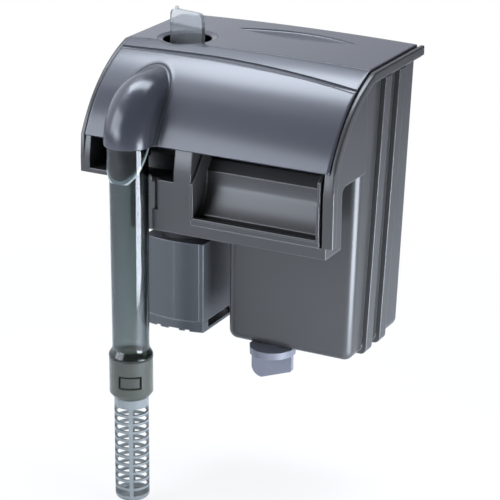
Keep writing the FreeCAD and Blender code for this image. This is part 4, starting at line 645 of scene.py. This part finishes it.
def node_group(name, inputs, outputs):
    """A new shader group with named inputs, each with its default, and named outputs."""
    group = bpy.data.node_groups.new(name, "ShaderNodeTree")
    for label, kind, default in inputs:
        socket = group.interface.new_socket(label, in_out="INPUT", socket_type=f"NodeSocket{kind}")
        socket.default_value = default
    for label, kind in outputs:
        group.interface.new_socket(label, in_out="OUTPUT", socket_type=f"NodeSocket{kind}")
    return group, Bench(group, group.nodes.new("NodeGroupInput"), group.nodes.new("NodeGroupOutput"))


class Bench:
    """A short way to add nodes to a tree and join them."""

    def __init__(self, tree, start=None, end=None):
        self.tree = tree
        self.start = start
        self.end = end

    def node(self, kind, inputs=None, **settings):
        """Adds a node; an input is a number or the socket that feeds it."""
        node = self.tree.nodes.new(f"ShaderNode{kind}")
        for key, value in settings.items():
            setattr(node, key, value)
        for key, value in (inputs or {}).items():
            self.feed(node.inputs[key], value)
        return node

    def feed(self, socket, value):
        """Sets a socket, or joins another socket to it."""
        if isinstance(value, bpy.types.NodeSocket):
            self.tree.links.new(value, socket)
        else:
            socket.default_value = value

    def sum(self, kind, first, second, third=None, clamp=False):
        """One step of arithmetic."""
        inputs = {0: first, 1: second}
        if third is not None:
            inputs[2] = third
        return self.node("Math", inputs, operation=kind, use_clamp=clamp).outputs[0]

    def mix(self, share, first, second):
        """A colour between two others."""
        node = self.node("Mix", {"Factor": share}, data_type="RGBA")
        self.feed(node.inputs[6], first)
        self.feed(node.inputs[7], second)
        return node.outputs[2]


def skin_group():
    """Fine moulding grain and the slow colour drift of moulded plastic, in object coordinates."""
    if "moulded_skin" in bpy.data.node_groups:
        return bpy.data.node_groups["moulded_skin"]
    group, bench = node_group("moulded_skin", [("Grain Scale", "Float", 2500.0),
                                               ("Drift Scale", "Float", 18.0)],
                              [("Drift", "Float"), ("Grain", "Float")])
    place = bench.node("TexCoord").outputs["Object"]
    start = bench.start.outputs
    drift = bench.node("TexNoise", {"Vector": place, "Scale": start["Drift Scale"], "Detail": 3.0})
    grain = bench.node("TexNoise", {"Vector": place, "Scale": start["Grain Scale"], "Detail": 2.0})
    bench.feed(bench.end.inputs["Drift"], drift.outputs["Fac"])
    bench.feed(bench.end.inputs["Grain"], grain.outputs["Fac"])
    return group


def edge_group():
    """A mask that is 1 on sharp edges: how far a rounded normal turns away from the face's own."""
    if "edge_light" in bpy.data.node_groups:
        return bpy.data.node_groups["edge_light"]
    group, bench = node_group("edge_light", [("Radius", "Float", 0.5 * MM), ("Gain", "Float", 3.0)],
                              [("Mask", "Float"), ("Normal", "Vector")])
    start = bench.start.outputs
    bevel = bench.node("Bevel", {"Radius": start["Radius"]}, samples=8)
    own = bench.node("NewGeometry").outputs["Normal"]
    facing = bench.node("VectorMath", {0: bevel.outputs[0], 1: own}, operation="DOT_PRODUCT")
    turned = bench.sum("SUBTRACT", 1.0, facing.outputs["Value"])
    bench.feed(bench.end.inputs["Mask"], bench.sum("MULTIPLY", turned, start["Gain"], clamp=True))
    bench.feed(bench.end.inputs["Normal"], bevel.outputs[0])
    return group


def line_group():
    """A mask that is 1 on a line at a place along a distance, and fades out over the line's width."""
    if "painted_line_mask" in bpy.data.node_groups:
        return bpy.data.node_groups["painted_line_mask"]
    group, bench = node_group("painted_line_mask", [("Distance", "Float", 0.0), ("Place", "Float", 0.0),
                                              ("Width", "Float", 0.5 * MM)], [("Mask", "Float")])
    start = bench.start.outputs
    away = bench.sum("ABSOLUTE", bench.sum("SUBTRACT", start["Distance"], start["Place"]), 0.0)
    share = bench.sum("DIVIDE", away, start["Width"])
    bench.feed(bench.end.inputs["Mask"], bench.sum("SUBTRACT", 1.0, share, clamp=True))
    return group


def new_material(name):
    """A material with a Principled shader and a bench to build it on."""
    material = bpy.data.materials.new(name)
    material.use_nodes = True
    bench = Bench(material.node_tree)
    shader = material.node_tree.nodes["Principled BSDF"]
    return material, bench, shader


def fill_group(bench, group, inputs):
    """Places a shader group and sets its inputs."""
    node = bench.node("Group", None, node_tree=group)
    for key, value in inputs.items():
        bench.feed(node.inputs[key], value)
    return node


def rgba(colour, gain=1.0):
    """A colour as four numbers, brightened by a gain."""
    return tuple(min(part * gain, 1.0) for part in colour) + (1.0,)


def moulded_plastic(name, colour, roughness, grain=0.02, drift=0.12, edge=0.35, radius=0.5 * MM):
    """Moulded plastic: a slow drift of colour, fine grain, and a painted highlight along its edges."""
    if name in bpy.data.materials:
        return bpy.data.materials[name]
    material, bench, shader = new_material(name)
    skin = fill_group(bench, skin_group(), {"Grain Scale": 2500.0, "Drift Scale": 22.0})
    edges = fill_group(bench, edge_group(), {"Radius": radius, "Gain": 4.0})
    base = bench.mix(skin.outputs["Drift"], rgba(colour, 1.0 - drift), rgba(colour, 1.0 + drift))
    # Painted highlight: edges are painted lighter, towards five times the colour, and edge sets how
    # much.
    share = bench.sum("MULTIPLY", edges.outputs["Mask"], edge)
    bench.feed(shader.inputs["Base Color"], bench.mix(share, base, rgba(colour, 5.0)))
    rough = bench.sum("MULTIPLY_ADD", skin.outputs["Grain"], 0.08, roughness - 0.04)
    bench.feed(shader.inputs["Roughness"], rough)
    bump = bench.node("Bump", {"Height": skin.outputs["Grain"], "Strength": grain,
                               "Distance": 0.1 * MM, "Normal": edges.outputs["Normal"]})
    bench.feed(shader.inputs["Normal"], bump.outputs[0])
    shader.inputs["IOR"].default_value = 1.52
    return material


def lid_finish(context):
    """The lid's glossier moulding, with painted shade lines along its creases, its groove, the bulge's
    foot and round its openings.
    """
    colour = context.scene.hangon_colours.lid
    lid = context.scene.hangon_lid
    # The lid's edges get a fainter painted highlight.
    material = moulded_plastic("lid_gloss", colour, 0.23, grain=0.01, drift=0.05, edge=0.2,
                               radius=0.4 * MM)
    bench = Bench(material.node_tree)
    shader = material.node_tree.nodes["Principled BSDF"]
    apart = {}
    for label in ("lid_lines", "lid_rings"):
        mark = bench.node("Attribute", attribute_name=label)
        apart[label] = bench.node("SeparateXYZ", {0: mark.outputs["Vector"]}).outputs
    crest, groove, foot = apart["lid_lines"]
    knob, grip, _ = apart["lid_rings"]
    # A distance, the line's place along it, its width in millimetres and how dark its painted shade is
    painted_shade_lines = [(crest, 0.0, 0.7, 0.8), (groove, 0.0, 0.6, 0.8), (groove, 3.4 * MM, 0.8, 0.85),
              (foot, 0.5 * MM, 1.3, 1.0), (knob, lid.dish, 0.5, 0.7), (grip, 0.0, 0.45, 0.75)]
    painted_shade_colour = (0.006, 0.007, 0.009, 1.0)
    dark = 0.0
    for distance, place, width, depth in painted_shade_lines:
        line = fill_group(bench, line_group(), {"Distance": distance, "Place": place,
                                                "Width": width * MM})
        dark = bench.sum("MAXIMUM", dark, bench.sum("MULTIPLY", line.outputs["Mask"], depth))
    plain = shader.inputs["Base Color"].links[0].from_socket
    rough = shader.inputs["Roughness"].links[0].from_socket
    # Painted shade: the colour darkens along each line, and the surface turns rougher there.
    bench.feed(shader.inputs["Base Color"], bench.mix(dark, plain, painted_shade_colour))
    bench.feed(shader.inputs["Roughness"], bench.sum("MULTIPLY_ADD", dark, 0.6, rough))
    return material


def clear_plastic(name, colour, roughness, cloud=0.0, neck=None, smoke=None, density=500.0,
                  shine=0.5):
    """Clear plastic with faint flow lines.

    Cloud makes it milky, a neck is another colour above a height, smoke darkens thick walls, and
    shine is how much its surface reflects.
    """
    material, bench, shader = new_material(name)
    skin = fill_group(bench, skin_group(), {"Grain Scale": 900.0, "Drift Scale": 35.0})
    tint = bench.mix(skin.outputs["Drift"], rgba(colour, 0.92), rgba(colour, 1.08))
    if neck:
        height, other = neck
        place = bench.node("SeparateXYZ", {0: bench.node("TexCoord").outputs["Object"]})
        tint = bench.mix(bench.sum("GREATER_THAN", place.outputs["Z"], height), tint, rgba(other))
    bench.feed(shader.inputs["Base Color"], tint)
    rough = bench.sum("MULTIPLY_ADD", skin.outputs["Drift"], 0.03, roughness)
    bench.feed(shader.inputs["Roughness"], rough)
    bump = bench.node("Bump", {"Height": skin.outputs["Drift"], "Strength": 0.04,
                               "Distance": 0.5 * MM})
    bench.feed(shader.inputs["Normal"], bump.outputs[0])
    shader.inputs["IOR"].default_value = 1.49
    shader.inputs["Specular IOR Level"].default_value = shine
    shader.inputs["Transmission Weight"].default_value = 1.0 - cloud
    if smoke:
        inside = bench.node("VolumeAbsorption", {"Color": rgba(smoke), "Density": density})
        bench.feed(material.node_tree.nodes["Material Output"].inputs["Volume"], inside.outputs[0])
    return material


def smoky_plastic(context, name, roughness, shine):
    """The clear plastic of the tube and the elbow, which is darker where a ray stays in it longer."""
    return clear_plastic(name, (0.90, 0.92, 0.92), roughness,
                         smoke=context.scene.hangon_colours.smoke, density=1150.0, shine=shine)


def elbow_finish(context):
    """The same for the elbow, with a pale rim glow painted along its slanting cut as a highlight.

    The cut is a plane through two level lines: its top, and its foot at the end of the tongue. The
    rim is a line at a short distance from that plane, on the elbow's side of it.
    """
    tube = context.scene.hangon_tube
    material = smoky_plastic(context, "smoke_elbow", 0.05, 0.3)
    leg = TUBE_Y - corners("intake_elbow")[0][1]
    across = leg - tube.cut_foot - tube.cut_top
    slant = math.hypot(across, tube.tongue)
    socket_foot = context.scene.hangon_lid.bend_z - tube.socket
    bench = Bench(material.node_tree)
    shader = material.node_tree.nodes["Principled BSDF"]
    place = bench.node("SeparateXYZ", {0: bench.node("TexCoord").outputs["Object"]}).outputs
    behind = bench.sum("SUBTRACT", place["Y"], TUBE_Y - tube.cut_top)
    above = bench.sum("SUBTRACT", place["Z"], socket_foot)
    level = bench.sum("MULTIPLY", behind, tube.tongue / slant)
    away = bench.sum("MULTIPLY_ADD", above, -across / slant, level)
    line = fill_group(bench, line_group(), {"Distance": away, "Place": -0.5 * MM,
                                            "Width": 0.7 * MM})
    no_glow = (0.0, 0.0, 0.0, 1.0)
    painted_glow_colour = (0.75, 0.90, 1.0, 1.0)
    # Painted highlight: the rim along the cut glows pale blue, though it is no lamp.
    bench.feed(shader.inputs["Emission Color"], bench.mix(line.outputs["Mask"], no_glow, painted_glow_colour))
    shader.inputs["Emission Strength"].default_value = 0.6
    return material


def rubber_finish():
    """Soft black rubber with a dusty bloom."""
    return moulded_plastic("soft_rubber", (0.012, 0.012, 0.013), 0.65, grain=0.25, drift=0.3, edge=0.1)


def floss_finish():
    """Bonded white floss: matted fibres as stretched noise, with a fuzzy sheen."""
    material, bench, shader = new_material("floss")
    place = bench.node("TexCoord").outputs["Object"]
    heights = []
    for turn in (0.0, 1.1, 2.3):
        way = bench.node("Mapping", {"Vector": place, "Rotation": (0.0, turn, 0.0),
                                     "Scale": (1.0, 1.0, 0.12)})
        fibre = bench.node("TexNoise", {"Vector": way.outputs[0], "Scale": 2600.0, "Detail": 3.0})
        heights.append(fibre.outputs["Fac"])
    matted = bench.sum("MAXIMUM", heights[0], bench.sum("MAXIMUM", heights[1], heights[2]))
    bench.feed(shader.inputs["Base Color"],
               bench.mix(matted, (0.45, 0.52, 0.60, 1.0), (0.90, 0.93, 0.96, 1.0)))
    bump = bench.node("Bump", {"Height": matted, "Strength": 0.8, "Distance": 0.6 * MM})
    bench.feed(shader.inputs["Normal"], bump.outputs[0])
    shader.inputs["Roughness"].default_value = 0.95
    shader.inputs["Sheen Weight"].default_value = 0.3
    return material


def carbon_finish():
    """A dark net over carbon granules: cells of black with glints."""
    material, bench, shader = new_material("carbon_net")
    place = bench.node("TexCoord").outputs["Object"]
    cells = bench.node("TexVoronoi", {"Vector": place, "Scale": 420.0})
    net = bench.node("TexWave", {"Vector": place, "Scale": 160.0}, wave_type="BANDS",
                     bands_direction="DIAGONAL")
    dark = bench.mix(cells.outputs["Distance"], (0.010, 0.010, 0.011, 1.0), (0.05, 0.05, 0.05, 1.0))
    bench.feed(shader.inputs["Base Color"], bench.mix(net.outputs["Fac"], dark, (0.09, 0.09, 0.09, 1.0)))
    bump = bench.node("Bump", {"Height": cells.outputs["Distance"], "Strength": 0.9,
                               "Distance": 1.0 * MM})
    bench.feed(shader.inputs["Normal"], bump.outputs[0])
    shader.inputs["Roughness"].default_value = 0.6
    return material


def metal_finish(name, colour, roughness, scale):
    """Plain metal with fine scratches along its length."""
    material, bench, shader = new_material(name)
    place = bench.node("TexCoord").outputs["Object"]
    way = bench.node("Mapping", {"Vector": place, "Scale": (1.0, 1.0, 0.05)})
    lines = bench.node("TexNoise", {"Vector": way.outputs[0], "Scale": scale, "Detail": 4.0})
    bench.feed(shader.inputs["Base Color"],
               bench.mix(lines.outputs["Fac"], rgba(colour, 0.8), rgba(colour, 1.15)))
    bench.feed(shader.inputs["Roughness"],
               bench.sum("MULTIPLY_ADD", lines.outputs["Fac"], 0.2, roughness))
    bump = bench.node("Bump", {"Height": lines.outputs["Fac"], "Strength": 0.2, "Distance": 0.1 * MM})
    bench.feed(shader.inputs["Normal"], bump.outputs[0])
    shader.inputs["Metallic"].default_value = 1.0
    return material


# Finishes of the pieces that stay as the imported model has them


def dress(node, material):
    """Smooths a node's facets up to an angle and gives it its finish; the mesh itself stays."""
    piece = frame["nodes"][node]
    if not piece.material_slots:
        piece.data.materials.append(None)
    for slot in piece.material_slots:
        slot.material = material
    piece.data.polygons.foreach_set("use_smooth", np.ones(len(piece.data.polygons), dtype=bool))
    weld = piece.modifiers.new("weld", "WELD")
    weld.merge_threshold = 0.002 * MM
    edges = piece.modifiers.new("edges", "EDGE_SPLIT")
    edges.split_angle = math.radians(32)


class HANGON_OT_case(bpy.types.Operator):
    """Gives the case, the chute and the level adjuster their finish"""

    bl_idname = "hangon.case"
    bl_label = "Case and chute"

    def execute(self, context):
        colours = context.scene.hangon_colours
        # Edge and radius set a strong painted highlight along the case's edges.
        case = moulded_plastic("case_satin", colours.case, 0.31, grain=0.05, edge=0.65,
                               radius=1.0 * MM)
        for node in ("filter_case", "spillway_chute"):
            dress(node, case)
        neck = (corners("filter_case")[0][2] - 4.9 * MM, tuple(part * 0.9 for part in colours.cam))
        dress("level_cam", clear_plastic("cam_cloud", colours.cam, 0.35, cloud=0.95, neck=neck))
        dress("cam_ring", rubber_finish())
        return {"FINISHED"}


class HANGON_OT_intake(bpy.types.Operator):
    """Gives the elbow, the collar, the strainer and the flow knob their finish"""

    bl_idname = "hangon.intake"
    bl_label = "Intake and knob"

    def execute(self, context):
        colours = context.scene.hangon_colours
        dress("intake_elbow", elbow_finish(context))
        dress("strainer_collar", clear_plastic("collar_smoke", colours.collar, 0.08, cloud=0.15,
                                               smoke=(0.34, 0.40, 0.30)))
        neck = (corners("strainer_collar")[0][2], tuple(part * 0.3 for part in colours.collar))
        dress("strainer", clear_plastic("strainer_cloud", colours.strainer, 0.25, cloud=0.45,
                                        neck=neck, smoke=(0.26, 0.34, 0.32), density=1100.0))
        neck = (corners("flow_knob")[1][2] - 11 * MM, colours.knob)
        dress("flow_knob", clear_plastic("knob_clear", tuple(part * 0.55 for part in colours.knob),
                                         0.06, cloud=0.25, neck=neck))
        dress("valve_sleeve", moulded_plastic("inner_dark", colours.inner, 0.45))
        dress("tube_seal", rubber_finish())
        dress("valve_seal", rubber_finish())
        return {"FINISHED"}


class HANGON_OT_pump(bpy.types.Operator):
    """Gives the motor, the impeller and what is inside the pump their finish"""

    bl_idname = "hangon.pump"
    bl_label = "Pump and motor"

    def execute(self, context):
        colours = context.scene.hangon_colours
        # Edge and radius set a strong painted highlight along the motor's edges.
        motor = moulded_plastic("motor_satin", colours.motor, 0.33, grain=0.04, edge=0.8,
                                radius=1.0 * MM)
        dress("motor_housing", motor)
        dress("motor_bottom_cover", motor)
        dress("impeller_cover", moulded_plastic("inner_dark", colours.inner, 0.45))
        dress("impeller", moulded_plastic("vane_white", (0.60, 0.61, 0.63), 0.4))
        for node in ("motor_seal", "upper_bush", "lower_bush", "cord_gland"):
            dress(node, rubber_finish())
        dress("impeller_shaft", moulded_plastic("ceramic", (0.80, 0.78, 0.74), 0.15, drift=0.03))
        dress("rotor_magnet", metal_finish("ferrite", (0.06, 0.06, 0.065), 0.55, 900.0))
        dress("motor_screws", metal_finish("stainless", (0.60, 0.60, 0.60), 0.25, 1500.0))
        dress("stator_core", metal_finish("sheet_steel", (0.26, 0.25, 0.24), 0.4, 1200.0))
        dress("coil_bobbin", moulded_plastic("nylon", (0.70, 0.67, 0.58), 0.5))
        dress("coil_winding", metal_finish("enamelled_copper", (0.62, 0.26, 0.12), 0.3, 2200.0))
        return {"FINISHED"}


class HANGON_OT_frames(bpy.types.Operator):
    """Gives the frames of the two cartridges their finish"""

    bl_idname = "hangon.frames"
    bl_label = "Cartridge frames"

    def execute(self, context):
        finish = moulded_plastic("frame_dark", context.scene.hangon_colours.inner, 0.5)
        dress("cartridge_frame_front", finish)
        dress("cartridge_frame_rear", finish)
        return {"FINISHED"}


# Stage


# Name of each lamp, its place from the middle of the filter at the tank's rim, its size, its watts
LAMPS = (
    ("overhead", (-0.11, 0.27, 1.06), (1.15, 0.42), 17.5),
    ("over_left", (-0.51, 0.14, 0.96), (1.0, 0.5), 3.0),
    ("front_left", (-0.72, -0.86, 0.41), (0.90, 0.75), 12.2),
    ("front_low", (-0.42, -0.90, 0.05), (0.5, 0.25), 2.0),
)


def softbox(name, place, target, size, power, diffuse=1.0):
    """An area lamp at a place, facing a target; the camera and clear plastic don't see it."""
    lamp = bpy.data.lights.new(name, "AREA")
    lamp.shape = "RECTANGLE"
    lamp.size, lamp.size_y = size
    lamp.energy = power
    lamp.color = (0.81, 0.88, 1.0)
    lamp.diffuse_factor = diffuse
    box = bpy.data.objects.new(name, lamp)
    away = (Vector(place) - Vector(target)).normalized()
    box.matrix_world = Matrix.Translation(Vector(place)) @ away.to_track_quat(
        "Z", "Y").to_matrix().to_4x4()
    box.visible_camera = False
    box.visible_transmission = False
    bpy.context.scene.collection.objects.link(box)


def white_to_rays(bench):
    """1 for rays from the camera and through clear plastic, and 0 for all others."""
    path = bench.node("LightPath")
    return bench.sum("MAXIMUM", path.outputs["Is Camera Ray"], path.outputs["Is Transmission Ray"])


class HANGON_OT_stage(bpy.types.Operator):
    """Makes the floor, the lamps, the white background and the camera"""

    bl_idname = "hangon.stage"
    bl_label = "Stage and camera"

    def execute(self, context):
        scene = context.scene
        stage = scene.hangon_stage
        self.floor(stage)
        self.world(scene)
        middle = Vector((0.0, (CAD_BOX[0][1] + CAD_BOX[1][1]) / 2, 0.0))
        for name, place, size, power in LAMPS:
            softbox(name, middle + Vector(place), middle, size, power)
        # A card that only shows in reflections, down the box's front corner
        height = CAD_BOX[0][2] + 0.088
        softbox("corner_card", (0.31, -0.064, height), (0.08, 0.02, height), (0.22, 0.17), 2.2,
                diffuse=0.0)
        self.camera(scene, stage)
        scene.view_settings.view_transform = "Standard"
        return {"FINISHED"}

    def floor(self, stage):
        """A plain pale floor under the strainer, as a flat grid.

        The camera sees it nearly white: the whiter, the farther it lies from the filter.
        """
        white_near = 0.70
        more_per_metre = 0.5
        side = np.linspace(-3.0, 3.0, 13)
        x, y = np.meshgrid(side, side)
        points = np.stack([x, y, np.full_like(x, CAD_BOX[0][2] - stage.floor_gap)], axis=-1)
        mesh = bpy.data.meshes.new("studio_floor")
        faces = grid_faces(len(side), len(side))
        mesh.from_pydata(points.reshape(-1, 3).tolist(), [], faces.reshape(-1, 4).tolist())
        material, bench, shader = new_material("floor_paper")
        place = bench.node("TexCoord").outputs["Object"]
        noise = bench.node("TexNoise", {"Vector": place, "Scale": 40.0, "Detail": 4.0})
        bench.feed(shader.inputs["Base Color"],
                   bench.mix(noise.outputs["Fac"], (0.74, 0.74, 0.75, 1.0), (0.78, 0.78, 0.79, 1.0)))
        shader.inputs["Roughness"].default_value = 0.9
        white = bench.node("Emission", {"Color": (1.0, 1.0, 1.0, 1.0), "Strength": 1.0})
        away = bench.node("VectorMath", {0: place}, operation="LENGTH").outputs["Value"]
        pale = bench.sum("MULTIPLY_ADD", away, more_per_metre, white_near, clamp=True)
        share = bench.sum("MULTIPLY", white_to_rays(bench), pale)
        both = bench.node("MixShader", {0: share, 1: shader.outputs[0], 2: white.outputs[0]})
        output = material.node_tree.nodes["Material Output"]
        bench.feed(output.inputs["Surface"], both.outputs[0])
        mesh.materials.append(material)
        floor = bpy.data.objects.new("studio_floor", mesh)
        bpy.context.scene.collection.objects.link(floor)

    def world(self, scene):
        """A soft grey room that looks white to the camera and through clear plastic.

        It is lighter behind the filter, and reflections see a large pale wall on the left.
        """
        everywhere = 0.10
        more_behind = 0.05
        pale_wall = 1.4
        world = bpy.data.worlds.new("studio")
        world.use_nodes = True
        scene.world = world
        bench = Bench(world.node_tree)
        room = world.node_tree.nodes["Background"]
        room.inputs["Color"].default_value = (0.80, 0.83, 0.90, 1.0)
        way = bench.node("SeparateXYZ", {0: bench.node("TexCoord").outputs["Generated"]})
        behind = bench.sum("MULTIPLY", way.outputs["Y"], 1.6, clamp=True)
        left = bench.sum("MULTIPLY", way.outputs["X"], -1.4, clamp=True)
        shiny = bench.sum("MULTIPLY", left, bench.node("LightPath").outputs["Is Glossy Ray"])
        plain = bench.sum("MULTIPLY_ADD", behind, more_behind, everywhere)
        bench.feed(room.inputs["Strength"], bench.sum("MULTIPLY_ADD", shiny, pale_wall, plain))
        white = bench.node("Background", {"Color": (1.0, 1.0, 1.0, 1.0), "Strength": 1.0})
        both = bench.node("MixShader", {0: white_to_rays(bench), 1: room.outputs[0],
                                        2: white.outputs[0]})
        bench.feed(world.node_tree.nodes["World Output"].inputs["Surface"], both.outputs[0])

    def camera(self, scene, stage):
        """The camera at the photograph's angle: three axes from azimuth, elevation and roll."""
        back = Vector((math.sin(stage.azimuth) * math.cos(stage.elevation),
                       -math.cos(stage.azimuth) * math.cos(stage.elevation),
                       math.sin(stage.elevation)))
        level = Vector((math.cos(stage.azimuth), math.sin(stage.azimuth), 0.0))
        upright = back.cross(level)
        right = level * math.cos(stage.roll) + upright * math.sin(stage.roll)
        up = upright * math.cos(stage.roll) - level * math.sin(stage.roll)
        turned = Matrix((right, up, back)).transposed().to_4x4()
        data = bpy.data.cameras.new("camera")
        data.lens = stage.lens
        data.sensor_width = 36.0
        data.sensor_fit = "HORIZONTAL"
        data.clip_start = 0.05
        data.clip_end = 20.0
        camera = bpy.data.objects.new("camera", data)
        camera.matrix_world = Matrix.Translation(
            (stage.camera_x, stage.camera_y, stage.camera_z)) @ turned
        scene.collection.objects.link(camera)
        scene.camera = camera


# Panel and registration

STEPS = (HANGON_OT_lid, HANGON_OT_tube, HANGON_OT_media, HANGON_OT_case, HANGON_OT_intake,
         HANGON_OT_pump, HANGON_OT_frames, HANGON_OT_stage)
SETTINGS = {"hangon_lid": LidSizes, "hangon_tube": TubeSizes, "hangon_colours": Colours,
            "hangon_stage": StageSizes}


class HANGON_PT_dresser(bpy.types.Panel):
    """Lists the steps and the sizes in the sidebar"""

    bl_label = "Hang-on filter"
    bl_idname = "HANGON_PT_dresser"
    bl_space_type = "VIEW_3D"
    bl_region_type = "UI"
    bl_category = "Filter"

    def draw(self, context):
        for step in STEPS:
            self.layout.operator(step.bl_idname)
        for name, group in SETTINGS.items():
            box = self.layout.box()
            for key in group.__annotations__:
                box.prop(getattr(context.scene, name), key)


def register():
    """Registers the settings, the steps and the panel."""
    for name, group in SETTINGS.items():
        bpy.utils.register_class(group)
        setattr(bpy.types.Scene, name, PointerProperty(type=group))
    for item in (*STEPS, HANGON_PT_dresser):
        bpy.utils.register_class(item)


def unregister():
    """Takes them away again."""
    for item in (HANGON_PT_dresser, *reversed(STEPS)):
        bpy.utils.unregister_class(item)
    for name, group in SETTINGS.items():
        delattr(bpy.types.Scene, name)
        bpy.utils.unregister_class(group)


def main():
    """Runs every step in order."""
    register()
    for step in STEPS:
        area, name = step.bl_idname.split(".")
        getattr(getattr(bpy.ops, area), name)()


if __name__ == "__main__":
    main()
